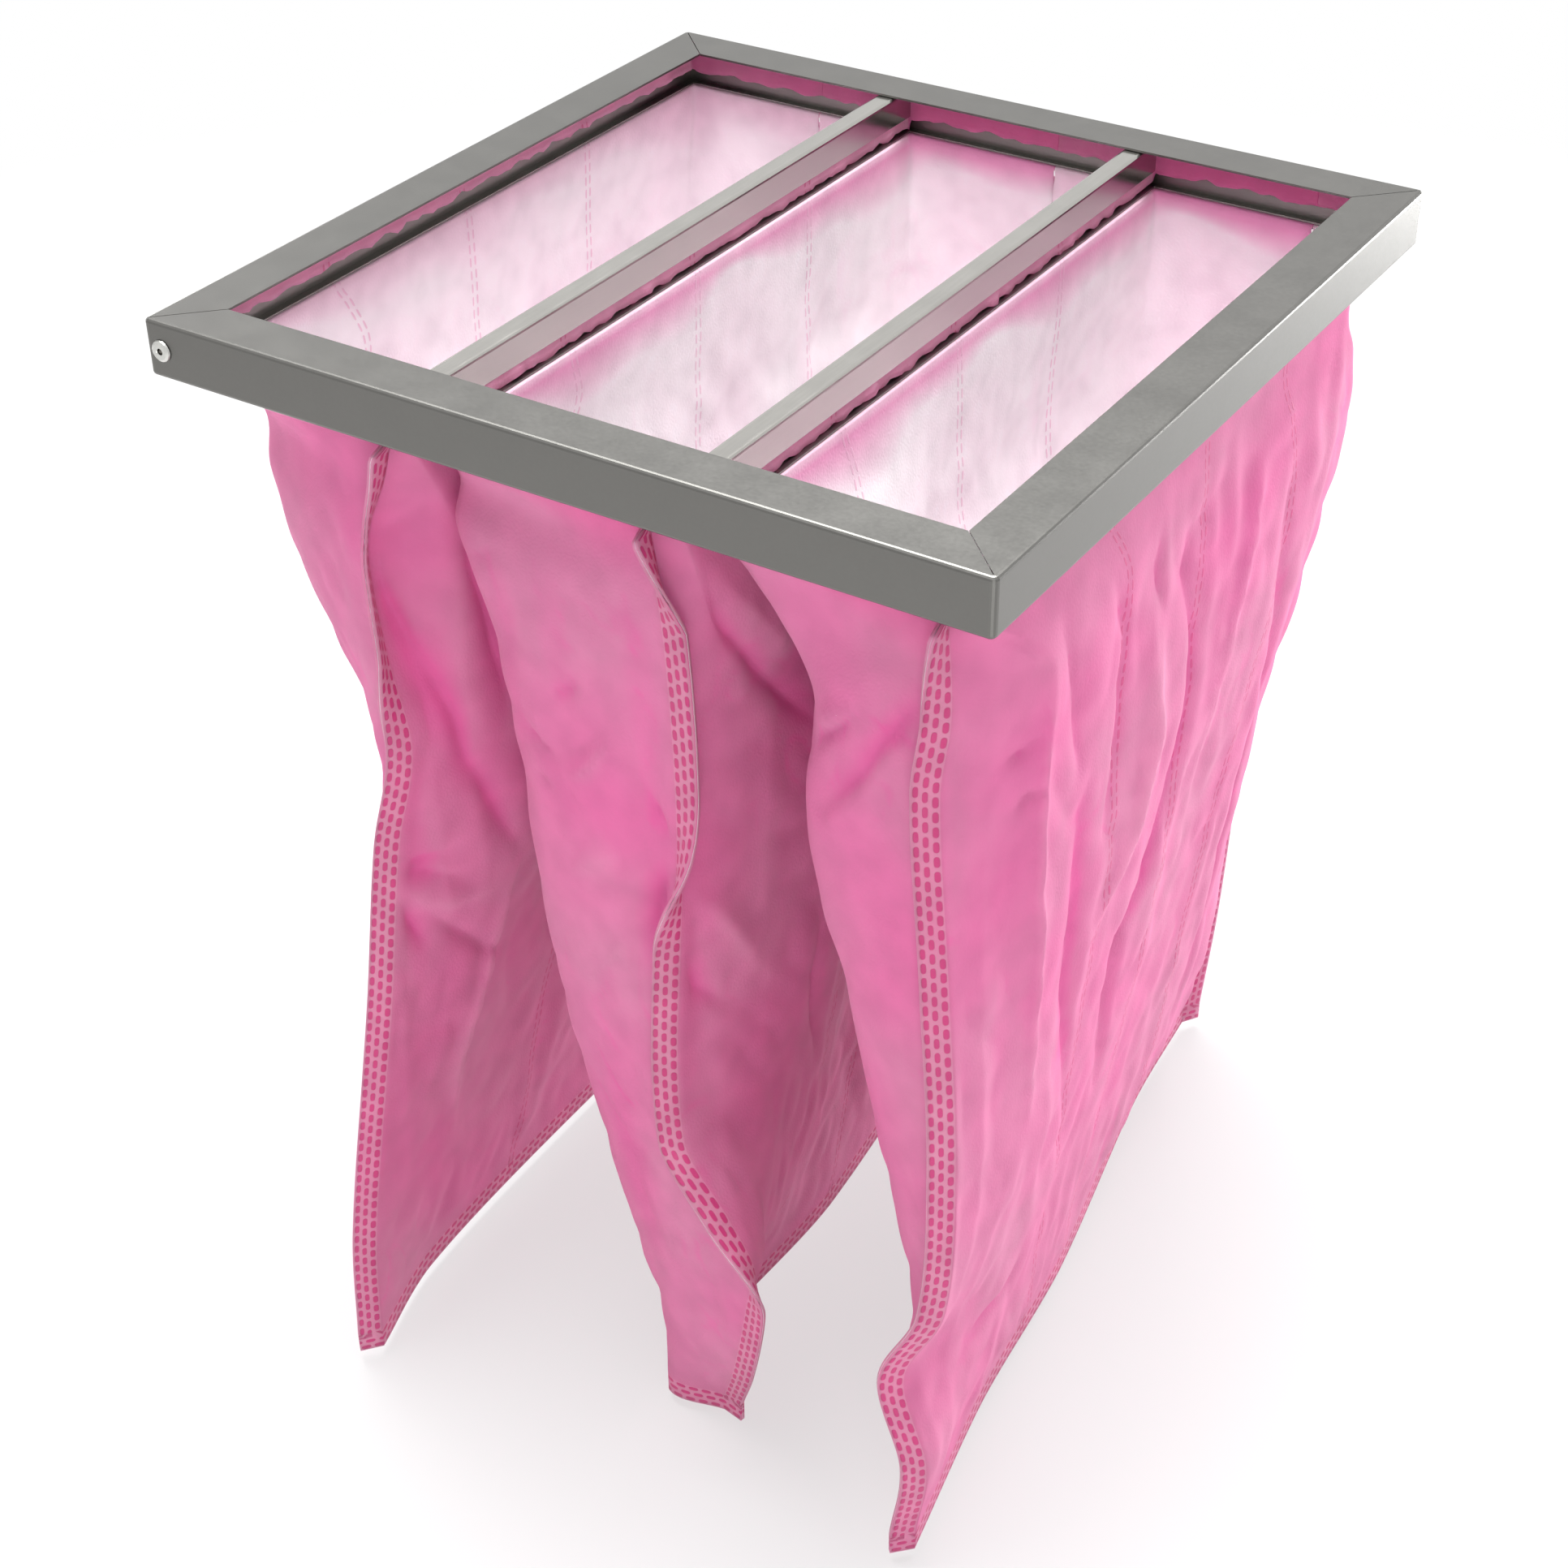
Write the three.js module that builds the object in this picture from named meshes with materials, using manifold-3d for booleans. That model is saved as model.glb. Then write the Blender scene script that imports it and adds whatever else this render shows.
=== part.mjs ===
// Three pocket bag air filter with a galvanised header, in millimetres, +Z up.
// The origin is the centre of the header on its rear plane. Air enters from +Z, the pockets hang towards -Z.
// X runs across the pockets, Y along their mouths.

import * as THREE from 'three';
import { mergeVertices } from 'three/addons/utils/BufferGeometryUtils.js';
import Module from 'manifold-3d';

// Header frame: one strip of sheet roll formed to a channel and bent round to a rectangle.
const HEADER_WIDTH = 390;
const HEADER_LENGTH = 390;
const HEADER_DEPTH = 25;
const HEADER_SHEET = 1;
const FRONT_FLANGE = 24;
const REAR_FLANGE = 10;
const FLANGE_BEND_RADIUS = 1.6;
const CORNER_BEND_RADIUS = 2.6;
const MITRE_SLIT = 0.4;
const LAP_TAB_LENGTH = 18;
const LAP_TAB_MARGIN = 2;

// Blind rivet at the lapped corner.
const RIVET_SHANK = 4.8;
const RIVET_HEAD = 9.5;
const RIVET_HEAD_HEIGHT = 1.3;
const RIVET_BLIND_HEAD = 7;
const RIVET_BLIND_HEIGHT = 1.4;
const RIVET_BORE = 2.8;
const RIVET_FROM_CORNER = 8.3;
const MANDREL = 2.2;
const MANDREL_RECESS = 0.5;

// Divider bars: inverted U channels between the pockets.
const POCKET_COUNT = 3;
const DIVIDER_WIDTH = 10;
const DIVIDER_HEIGHT = 13.7;
const DIVIDER_SHEET = 0.8;
const DIVIDER_BEND_RADIUS = 1.6;
const POCKET_PITCH = 130;

// Pocket frames: strip bent to an L and closed to a rectangle, wrapped in each pocket's hem.
const STRIP_SHEET = 0.8;
const STRIP_UNDER_FLANGE = 2.8;
const STRIP_LIP = 4.5;
const SIDE_SPACE = 3.45;

// Filter medium.
const MEDIA = 1.1;
const POCKET_DROP = 487;
const SEAM_WIDTH = 11;
const HEM_END_AT_HEADER = 9.5;
const HEM_END_AT_DIVIDER = 4.4;
const SPAN_STRIP = 0.8;
const SPAN_STRIP_TOP = 0.3;
const SPAN_STRIP_BOTTOM = 0.82;

// Gap between pieces that rest on each other.
const CLEAR = 0.3;

// How each pocket hangs. Depths are shares of the drop, and distances are thousandths of it. A seam row is [depth,
// across from the pocket's middle, out past the mouth's end]. A fold row is [depth, out past the mouth's long side,
// in from the mouth's end]. A flap row is [depth, degrees that the seam allowance leans to -X]. The bottom runs from
// the near corner over the near fold, the middle and the far fold to the far corner, as [across, along from its own
// end or middle].
const DRAPES = [
  {
    nearSeam: [[0, 100, 0], [0.04, 90, 4], [0.1, 66, 6], [0.15, 66, 8], [0.22, 78, 10], [0.3, 99, 14],
      [0.4, 84, 27], [0.57, 70, 45], [0.86, 39, 74]],
    flap: [[0, -30], [0.2, -30], [0.32, 50], [1, 40]],
    nearLeft: [[0, 0, 0], [0.02, -4, 31], [0.06, -14, 68], [0.12, -16, 66], [0.21, -39, 68], [0.34, -86, 82],
      [0.57, -92, 103], [0.86, -101, 51]],
    nearRight: [[0, 0, 0], [0.08, 8, 37], [0.2, 16, 68], [0.32, 21, 88], [0.44, 12, 88], [0.52, -16, 84],
      [0.7, -57, 62], [0.91, -94, 41]],
    midLeft: [[0, 0], [0.2, -6], [0.5, -37], [0.8, -76]],
    midRight: [[0, 0], [0.2, -4], [0.5, -41], [0.8, -90]],
    farLeft: [[0, 0, 0], [0.2, -10, 37], [0.5, -37, 47], [0.8, -84, 37]],
    farRight: [[0, 0, 0], [0.2, -12, 33], [0.5, -49, 43], [0.8, -90, 43]],
    farSeam: [[0, 37, 0], [0.5, 16, 31]],
    bottom: { corner: [29, 76], nearFold: [0, 31], middle: [-12, -10], farFold: [2, 37], farCorner: [0, 80] },
  },
  {
    nearSeam: [[0, 88, 0], [0.12, 103, 4], [0.25, 111, 8], [0.35, 113, 12], [0.62, 111, 18], [0.69, 154, 18],
      [0.74, 181, 18], [0.81, 168, 8], [0.93, 136, -16]],
    flap: [[0, -85], [0.24, -85], [0.3, -60], [0.36, 5], [0.42, 52], [0.63, 50], [0.69, 20], [0.75, -35],
      [0.81, -75], [1, -80]],
    nearLeft: [[0, 0, 0], [0.04, 0, 33], [0.08, 2, 27], [0.16, -21, 27], [0.29, -43, 23], [0.48, -64, 27],
      [0.64, -97, 27], [0.84, -140, 37], [0.88, -168, 27]],
    nearRight: [[0, 0, 0], [0.12, 10, 37], [0.2, 8, 97], [0.27, 14, 162], [0.5, 12, 160], [0.64, 4, 140],
      [0.81, 4, 88], [0.93, -33, 51]],
    midLeft: [[0, 0], [0.2, -4], [0.4, -29], [0.6, -76], [0.8, -123]],
    midRight: [[0, 0], [0.2, 4], [0.5, -6], [0.8, -49]],
    farLeft: [[0, 0, 0], [0.2, -16, 29], [0.5, -47, 39], [0.8, -94, 49]],
    farRight: [[0, 0, 0], [0.2, -4, 33], [0.5, -25, 45], [0.8, -78, 53]],
    farSeam: [[0, 41, 0], [0.5, 16, 25]],
    bottom: { corner: [109, -39], nearFold: [49, 31], middle: [45, -41], farFold: [8, 68], farCorner: [0, 43] },
  },
  {
    nearSeam: [[0, 86, 0], [0.09, 94, 2], [0.16, 90, 8], [0.33, 107, 16], [0.51, 125, 27], [0.68, 119, 27],
      [0.78, 82, 27], [0.88, 107, 27]],
    flap: [[0, 57], [1, 45]],
    nearLeft: [[0, 0, 0], [0.04, -18, 27], [0.13, -74, 27], [0.25, -68, 27], [0.39, -103, 27], [0.54, -131, 27],
      [0.7, -177, 27], [0.8, -185, 37], [0.9, -181, 109]],
    nearRight: [[0, 0, 0], [0.08, 12, 86], [0.5, 12, 84], [0.62, 8, 78], [0.77, -16, 109], [0.93, -37, 140]],
    midLeft: [[0, 0], [0.2, -16], [0.5, -66], [0.8, -127]],
    midRight: [[0, 0], [0.2, 8], [0.5, -12], [0.8, -49]],
    farLeft: [[0, 0, 0], [0.2, -12, 29], [0.5, -41, 37], [0.8, -74, 49]],
    farRight: [[0, 0, 0], [0.03, -6, 57], [0.09, -6, 35], [0.18, -12, 16], [0.31, -21, 45],
      [0.47, -35, 86], [0.64, -55, 84], [0.85, -88, 53]],
    farSeam: [[0, 45, 0], [0.3, 25, 14], [0.6, 4, 25], [0.85, -12, 45]],
    bottom: { corner: [88, 10], nearFold: [55, 181], middle: [37, 0], farFold: [-14, 88], farCorner: [-27, 57] },
  },
];

// Soft waves that run down the long panels.
const WAVE_HEIGHT = 2.2;
const WAVE_LENGTH = 118;

// Fineness of the curved pieces.
const BEND_STEPS = 3;
const ROUND_STEPS = 28;
const DEPTH_ROWS = [0.002, 0.014, 0.04, 0.08, 0.13, 0.18, 0.24, 0.3, 0.36, 0.42, 0.49, 0.56, 0.63, 0.69, 0.75, 0.81, 0.87,
  0.94, 1];
const NARROW_STEPS = 3;
const HALF_LONG_STEPS = 4;
const FLAP_AT_HEM = 0.4;
const FLAP_START = 0.014;
const FLAP_LEANS_BY = 0.08;
const FAR_FLAP_LEAN = -34;

// Worked out from the sizes above.
const HALF_GAP = CLEAR / 2;
const WALL_FACE_X = HEADER_WIDTH / 2 - HEADER_SHEET;
const WALL_FACE_Y = HEADER_LENGTH / 2 - HEADER_SHEET;
const MEDIA_OUT = HALF_GAP + MEDIA;
const STRIP_BOTTOM = HEADER_SHEET + 2 * CLEAR + MEDIA;
const STRIP_TOP = HEADER_DEPTH - HEADER_SHEET - STRIP_UNDER_FLANGE;
const HEM_INSET = STRIP_SHEET + 2 * HALF_GAP;
const MOUTH_LINE_X = WALL_FACE_X - SIDE_SPACE - MEDIA_OUT;
const MOUTH_LINE_Y = WALL_FACE_Y - SIDE_SPACE - MEDIA_OUT;
const THROAT_INSET = MOUTH_LINE_X - (HEADER_WIDTH / 2 - REAR_FLANGE - CLEAR - MEDIA_OUT);
const DIVIDER_TOP = HEADER_DEPTH - HEADER_SHEET - CLEAR;
const FIRST_DIVIDER = -(POCKET_COUNT - 2) * POCKET_PITCH / 2;
const RIVET_X = -HEADER_WIDTH / 2 + RIVET_FROM_CORNER;
const DRAPE_UNIT = POCKET_DROP / 1000;

const wasm = await Module();
wasm.setup();

const galvanised = new THREE.MeshStandardMaterial({ color: 0x9ea19c, roughness: 0.42, metalness: 1 });
const brightSteel = new THREE.MeshStandardMaterial({ color: 0xb9b7b0, roughness: 0.3, metalness: 1 });
const rivetAluminium = new THREE.MeshStandardMaterial({ color: 0xc9c9c4, roughness: 0.35, metalness: 1 });
const mandrelSteel = new THREE.MeshStandardMaterial({ color: 0x55534f, roughness: 0.5, metalness: 1 });
const pinkMedia = new THREE.MeshStandardMaterial({ color: 0xe98ab8, roughness: 0.9, metalness: 0 });
const paleMedia = new THREE.MeshStandardMaterial({ color: 0xf3e2ec, roughness: 0.9, metalness: 0 });

function closedGeometry(points, faces) {
  const geometry = new THREE.BufferGeometry();
  geometry.setAttribute('position', new THREE.Float32BufferAttribute(points.flatMap((p) => [p.x, p.y, p.z]), 3));
  geometry.setIndex(faces.flat());
  const merged = mergeVertices(geometry, 1e-3);
  const index = merged.index.array;
  const kept = [];
  for (let i = 0; i < index.length; i += 3) {
    const [a, b, c] = [index[i], index[i + 1], index[i + 2]];
    if (a !== b && b !== c && c !== a) kept.push(a, b, c);
  }
  merged.setIndex(kept);
  return merged;
}

function toSolid(geometry) {
  const bare = geometry.clone();
  bare.deleteAttribute('normal');
  bare.deleteAttribute('uv');
  const merged = mergeVertices(bare, 1e-4);
  return new wasm.Manifold(new wasm.Mesh({
    numProp: 3,
    vertProperties: new Float32Array(merged.attributes.position.array),
    triVerts: new Uint32Array(merged.index.array),
  }));
}

function toGeometry(solid) {
  const mesh = solid.getMesh();
  const geometry = new THREE.BufferGeometry();
  geometry.setAttribute('position', new THREE.Float32BufferAttribute(mesh.vertProperties, 3));
  geometry.setIndex(Array.from(mesh.triVerts));
  return geometry;
}

// Box between two corners.
function blockBetween(low, high) {
  const size = high.map((value, i) => value - low[i]);
  const middle = high.map((value, i) => (value + low[i]) / 2);
  return new THREE.BoxGeometry(...size).translate(...middle);
}

// Quarter bend from one direction to another, as points [inward, height].
function bend(centre, radius, fromDegrees, toDegrees) {
  const points = [];
  for (let i = 0; i <= BEND_STEPS; i += 1) {
    const angle = THREE.MathUtils.degToRad(fromDegrees + (toDegrees - fromDegrees) * i / BEND_STEPS);
    points.push([centre[0] + radius * Math.cos(angle), centre[1] + radius * Math.sin(angle)]);
  }
  return points;
}

// Carries a closed profile of points [inward, height] round a rectangle whose outer corners are rounded.
function ringGeometry(profile, halfX, halfY, cornerRadius, centreX = 0) {
  const corners = [[-1, -1, 180], [1, -1, 270], [1, 1, 0], [-1, 1, 90]];
  const arcSteps = cornerRadius > 0 ? BEND_STEPS + 1 : 0;
  const stations = [];
  for (const [signX, signY, start] of corners) {
    for (let i = 0; i <= arcSteps; i += 1) {
      const angle = THREE.MathUtils.degToRad(start + 90 * (arcSteps ? i / arcSteps : 0.5));
      stations.push(profile.map(([inward, height]) => {
        const radius = Math.max(cornerRadius - inward, 0);
        const pull = Math.max(inward, cornerRadius);
        return new THREE.Vector3(
          centreX + signX * (halfX - pull) + radius * Math.cos(angle),
          signY * (halfY - pull) + radius * Math.sin(angle),
          height,
        );
      }));
    }
  }
  const count = profile.length;
  const faces = [];
  stations.forEach((_, s) => {
    const next = (s + 1) % stations.length;
    for (let k = 0; k < count; k += 1) {
      const [a, b] = [s * count + k, s * count + (k + 1) % count];
      const [c, d] = [next * count + (k + 1) % count, next * count + k];
      faces.push([a, b, c], [a, c, d]);
    }
  });
  return closedGeometry(stations.flat(), faces);
}

// Section of the header's channel, with the front flange above and the rear flange below.
function headerProfile() {
  const outer = FLANGE_BEND_RADIUS;
  const inner = FLANGE_BEND_RADIUS - HEADER_SHEET;
  const top = HEADER_DEPTH - outer;
  return [
    [FRONT_FLANGE, HEADER_DEPTH],
    ...bend([outer, top], outer, 90, 180),
    ...bend([outer, outer], outer, 180, 270),
    [REAR_FLANGE, 0],
    [REAR_FLANGE, HEADER_SHEET],
    ...bend([outer, outer], inner, 270, 180),
    ...bend([outer, top], inner, 180, 90),
    [FRONT_FLANGE, HEADER_DEPTH - HEADER_SHEET],
  ];
}

// Upright cutter along a corner's diagonal, from one inward distance to another.
function mitreCutter(signX, signY, fromInward, toInward) {
  const run = toInward - fromInward;
  const middle = (fromInward + toInward) / 2;
  const cutter = new THREE.BoxGeometry(run * Math.SQRT2, MITRE_SLIT, HEADER_DEPTH * 2);
  cutter.rotateZ(signX * signY * Math.PI / 4);
  cutter.translate(signX * (HEADER_WIDTH / 2 - middle), signY * (HEADER_LENGTH / 2 - middle), HEADER_DEPTH / 2);
  return toSolid(cutter);
}

// Cylinder whose axis runs along Y.
function rodAlongY(diameter, fromY, toY) {
  const rod = new THREE.CylinderGeometry(diameter / 2, diameter / 2, toY - fromY, ROUND_STEPS);
  return rod.translate(RIVET_X, (fromY + toY) / 2, HEADER_DEPTH / 2);
}

function headerFrame() {
  const ring = ringGeometry(headerProfile(), HEADER_WIDTH / 2, HEADER_LENGTH / 2, CORNER_BEND_RADIUS);
  let solid = toSolid(ring);
  const beyond = FRONT_FLANGE + HEADER_SHEET;
  for (const [signX, signY] of [[-1, -1], [1, -1], [1, 1], [-1, 1]]) {
    const isLap = signX < 0 && signY < 0;
    const from = isLap ? -HEADER_SHEET : CORNER_BEND_RADIUS;
    solid = solid.subtract(mitreCutter(signX, signY, from, beyond));
  }
  const tabFace = -WALL_FACE_Y + CLEAR;
  const tab = blockBetween(
    [-WALL_FACE_X - HEADER_SHEET / 2, tabFace, LAP_TAB_MARGIN],
    [-WALL_FACE_X + LAP_TAB_LENGTH, tabFace + HEADER_SHEET, HEADER_DEPTH - LAP_TAB_MARGIN],
  );
  solid = solid.add(toSolid(tab));
  const hole = rodAlongY(RIVET_SHANK + 2 * CLEAR, -HEADER_LENGTH / 2 - HEADER_SHEET, tabFace + 2 * HEADER_SHEET);
  return toGeometry(solid.subtract(toSolid(hole)));
}

// Turned shape from points [radius, outward], laid along -Y at the rivet.
function turnedAtRivet(points) {
  const outline = points.map(([radius, outward]) => new THREE.Vector2(radius, outward));
  const geometry = new THREE.LatheGeometry(outline, ROUND_STEPS);
  geometry.rotateX(Math.PI);
  return geometry.translate(RIVET_X, -HEADER_LENGTH / 2, HEADER_DEPTH / 2);
}

function cornerRivet() {
  const seat = CLEAR;
  const head = seat + RIVET_HEAD_HEIGHT;
  const grip = 2 * HEADER_SHEET + 2 * CLEAR;
  const bore = RIVET_BORE / 2;
  const rim = RIVET_HEAD / 2;
  const blind = RIVET_BLIND_HEAD / 2;
  const shank = RIVET_SHANK / 2;
  const tail = -grip - RIVET_BLIND_HEIGHT;
  return turnedAtRivet([
    [bore, tail], [blind * 0.8, tail], [blind, -grip - RIVET_BLIND_HEIGHT / 2], [blind * 0.85, -grip],
    [shank, -grip], [shank, seat], [rim, seat], [rim * 0.94, seat + RIVET_HEAD_HEIGHT / 2],
    [rim * 0.72, head], [bore * 1.25, head], [bore, head - RIVET_HEAD_HEIGHT / 4], [bore, tail],
  ]);
}

function rivetMandrel() {
  const top = CLEAR + RIVET_HEAD_HEIGHT - MANDREL_RECESS;
  const tail = -2 * HEADER_SHEET - 2 * CLEAR - RIVET_BLIND_HEIGHT;
  const radius = MANDREL / 2;
  return turnedAtRivet([
    [0, tail], [radius, tail], [radius, top - radius / 2], [radius / 2, top], [0, top],
  ]);
}

// Inverted U channel whose top web runs on under the header's flange as a tongue at each end.
function dividerBar(x) {
  const outer = DIVIDER_BEND_RADIUS;
  const inner = DIVIDER_BEND_RADIUS - DIVIDER_SHEET;
  const half = DIVIDER_WIDTH / 2;
  const low = DIVIDER_TOP - DIVIDER_HEIGHT;
  const top = DIVIDER_TOP - outer;
  const section = [
    [half, low], ...bend([half - outer, top], outer, 0, 90), ...bend([outer - half, top], outer, 90, 180),
    [-half, low], [-half + DIVIDER_SHEET, low], ...bend([outer - half, top], inner, 180, 90),
    ...bend([half - outer, top], inner, 90, 0), [half - DIVIDER_SHEET, low],
  ];
  const halfChannel = MOUTH_LINE_Y - HEM_INSET - MEDIA_OUT - CLEAR;
  const halfTongue = WALL_FACE_Y - CLEAR;
  const shape = new THREE.Shape(section.map(([across, height]) => new THREE.Vector2(across, height)));
  const channel = new THREE.ExtrudeGeometry(shape, { depth: 2 * halfChannel, bevelEnabled: false });
  channel.rotateX(Math.PI / 2);
  channel.translate(x, halfChannel, 0);
  const tongue = blockBetween(
    [x - half + outer, -halfTongue, DIVIDER_TOP - DIVIDER_SHEET],
    [x + half - outer, halfTongue, DIVIDER_TOP],
  );
  return toGeometry(toSolid(channel).add(toSolid(tongue)));
}

// Mouth lines of one pocket: where its medium lies against the outside of its pocket frame.
function mouthOf(pocket) {
  const leftDivider = FIRST_DIVIDER + (pocket - 1) * POCKET_PITCH;
  const offDivider = HALF_GAP + MEDIA_OUT;
  const left = pocket === 0 ? -MOUTH_LINE_X : leftDivider + offDivider;
  const right = pocket === POCKET_COUNT - 1 ? MOUTH_LINE_X : leftDivider + POCKET_PITCH - offDivider;
  return {
    middle: (left + right) / 2,
    half: (right - left) / 2,
    hemLeft: pocket === 0 ? HEM_END_AT_HEADER : HEM_END_AT_DIVIDER,
    hemRight: pocket === POCKET_COUNT - 1 ? HEM_END_AT_HEADER : HEM_END_AT_DIVIDER,
  };
}

function pocketFrame(pocket) {
  const mouth = mouthOf(pocket);
  const profile = [
    [0, STRIP_TOP], [0, STRIP_BOTTOM], [STRIP_LIP, STRIP_BOTTOM], [STRIP_LIP, STRIP_BOTTOM + STRIP_SHEET],
    [STRIP_SHEET, STRIP_BOTTOM + STRIP_SHEET], [STRIP_SHEET, STRIP_TOP],
  ];
  return ringGeometry(profile, mouth.half - HALF_GAP, MOUTH_LINE_Y - HALF_GAP, 0, mouth.middle);
}

// Smooth value at a depth, from rows that start with their depth.
function along(rows, depth, column) {
  const last = rows.length - 1;
  let i = 0;
  while (i < last - 1 && depth > rows[i + 1][0]) i += 1;
  const slope = (a, b) => (rows[b][column] - rows[a][column]) / (rows[b][0] - rows[a][0]);
  const step = rows[i + 1][0] - rows[i][0];
  const startSlope = slope(Math.max(i - 1, 0), i + 1) * step;
  const endSlope = slope(i, Math.min(i + 2, last)) * step;
  const t = Math.min(Math.max((depth - rows[i][0]) / step, 0), 1);
  const [t2, t3] = [t * t, t * t * t];
  return (2 * t3 - 3 * t2 + 1) * rows[i][column] + (t3 - 2 * t2 + t) * startSlope
    + (3 * t2 - 2 * t3) * rows[i + 1][column] + (t3 - t2) * endSlope;
}

// Guide points of one panel's section at a depth, from its near seam to its far seam.
function guidePoints(pocket, side, depth) {
  const mouth = mouthOf(pocket);
  const drape = DRAPES[pocket];
  const end = drape.bottom;
  const edge = mouth.half - THROAT_INSET;
  const mouthEnd = MOUTH_LINE_Y - THROAT_INSET;
  const name = side < 0 ? 'Left' : 'Right';
  const seamAt = (rows, corner, endSign) => {
    const full = [...rows, [1, ...corner]];
    return [
      mouth.middle + along(full, depth, 1) * DRAPE_UNIT,
      endSign * (mouthEnd + along(full, depth, 2) * DRAPE_UNIT),
    ];
  };
  const foldAt = (rows, fold, endSign) => {
    const full = [...rows, [1, side * fold[0] - edge / DRAPE_UNIT, fold[1]]];
    const across = side * (edge + along(full, depth, 1) * DRAPE_UNIT);
    return [mouth.middle + across, endSign * (mouthEnd - along(full, depth, 2) * DRAPE_UNIT)];
  };
  const middleRows = [...drape[`mid${name}`], [1, side * end.middle[0] - edge / DRAPE_UNIT]];
  return [
    seamAt(drape.nearSeam, end.corner, -1),
    foldAt(drape[`near${name}`], end.nearFold, -1),
    [
      mouth.middle + side * (edge + along(middleRows, depth, 1) * DRAPE_UNIT),
      end.middle[1] * DRAPE_UNIT * depth,
    ],
    foldAt(drape[`far${name}`], end.farFold, 1),
    seamAt(drape.farSeam, end.farCorner, 1),
  ].map(([x, y]) => new THREE.Vector3(x, y, 0));
}

// Section shares of the panel's columns: a whole number at each guide point.
function columnShares() {
  const shares = [];
  [NARROW_STEPS, HALF_LONG_STEPS, HALF_LONG_STEPS, NARROW_STEPS].forEach((steps, span) => {
    for (let i = 0; i < steps; i += 1) shares.push(span + i / steps);
  });
  return [...shares, 4];
}

// Ends a row a little short of the pocket's other panel, with no seam allowance.
function withClosedEnds(points, side) {
  const roots = [points[0], points[points.length - 1]];
  const [near, far] = roots.map((root) => root.clone());
  for (const end of [near, far]) end.x += side * HALF_GAP;
  for (const root of roots) root.x += side * (HALF_GAP + FLAP_AT_HEM);
  return [near, ...points, far];
}

// One horizontal section of a panel below the mouth, with the seam allowance at each end.
function sectionRow(pocket, side, depth, height) {
  const guides = guidePoints(pocket, side, depth);
  const curve = new THREE.CatmullRomCurve3(guides, false, 'centripetal');
  const softness = Math.min(depth / 0.15, 1) * 0.8;
  const points = columnShares().map((share) => {
    const span = Math.min(Math.floor(share), 3);
    const straight = guides[span].clone().lerp(guides[span + 1], share - span);
    const point = straight.lerp(curve.getPoint(share / 4), softness);
    const swell = Math.sin(Math.PI * depth) * Math.max(1 - Math.abs(share - 2), 0);
    point.x += side * WAVE_HEIGHT * swell * Math.sin(point.y * 2 * Math.PI / WAVE_LENGTH + pocket);
    point.z = height;
    return point;
  });
  if (depth < FLAP_START) return withClosedEnds(points, side);
  const leaning = Math.min((depth - FLAP_START) / FLAP_LEANS_BY, 1);
  const lean = THREE.MathUtils.degToRad(along(DRAPES[pocket].flap, depth, 1)) * leaning;
  const farLean = THREE.MathUtils.degToRad(FAR_FLAP_LEAN) * leaning;
  const nearFlap = new THREE.Vector3(-Math.sin(lean), -Math.cos(lean), 0).multiplyScalar(SEAM_WIDTH);
  const farFlap = new THREE.Vector3(-Math.sin(farLean), Math.cos(farLean), 0).multiplyScalar(SEAM_WIDTH);
  return [points[0].clone().add(nearFlap), ...points, points[points.length - 1].clone().add(farFlap)];
}

// One rectangular row of a panel's hem round the pocket frame.
function hemRow(pocket, side, inset, heightOf) {
  const mouth = mouthOf(pocket);
  const [x, y] = [mouth.half - inset, MOUTH_LINE_Y - inset];
  const drape = DRAPES[pocket];
  const guides = [
    [mouth.middle + drape.nearSeam[0][1] * DRAPE_UNIT, -y], [mouth.middle + side * x, -y],
    [mouth.middle + side * x, 0], [mouth.middle + side * x, y],
    [mouth.middle + drape.farSeam[0][1] * DRAPE_UNIT, y],
  ].map(([px, py]) => new THREE.Vector3(px, py, 0));
  const points = columnShares().map((share) => {
    const span = Math.min(Math.floor(share), 3);
    const point = guides[span].clone().lerp(guides[span + 1], share - span);
    point.z = heightOf(share);
    return point;
  });
  return withClosedEnds(points, side);
}

// Whole panel as a grid of rows, from the hem's inner end over the strip and down to the bottom seam's edge.
function panelGrid(pocket, side) {
  const mouth = mouthOf(pocket);
  const hemEnd = side < 0 ? mouth.hemLeft : mouth.hemRight;
  const onLong = (share) => share >= 1 && share <= 3;
  const rows = [
    hemRow(pocket, side, HEM_INSET, (share) => (onLong(share) ? hemEnd : HEM_END_AT_HEADER)),
    hemRow(pocket, side, HEM_INSET, () => STRIP_TOP + HALF_GAP),
    hemRow(pocket, side, 0, () => STRIP_TOP + HALF_GAP),
    hemRow(pocket, side, 0, () => STRIP_BOTTOM - HALF_GAP),
    hemRow(pocket, side, THROAT_INSET, () => STRIP_BOTTOM - HALF_GAP),
  ];
  for (const depth of DEPTH_ROWS) rows.push(sectionRow(pocket, side, depth, -depth * POCKET_DROP));
  rows.push(sectionRow(pocket, side, 1, -POCKET_DROP - SEAM_WIDTH));
  return rows;
}

// Step off a surface point that puts all the facets round it the same distance away.
function mitredStep(normals) {
  const soft = 0.01;
  const m = new THREE.Matrix3().set(soft, 0, 0, 0, soft, 0, 0, 0, soft);
  const sum = new THREE.Vector3();
  for (const n of normals) {
    const e = m.elements;
    [n.x * n.x, n.x * n.y, n.x * n.z, n.y * n.x, n.y * n.y, n.y * n.z, n.z * n.x, n.z * n.y, n.z * n.z]
      .forEach((value, i) => { e[i] += value; });
    sum.add(n);
  }
  return sum.applyMatrix3(m.invert());
}

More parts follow.
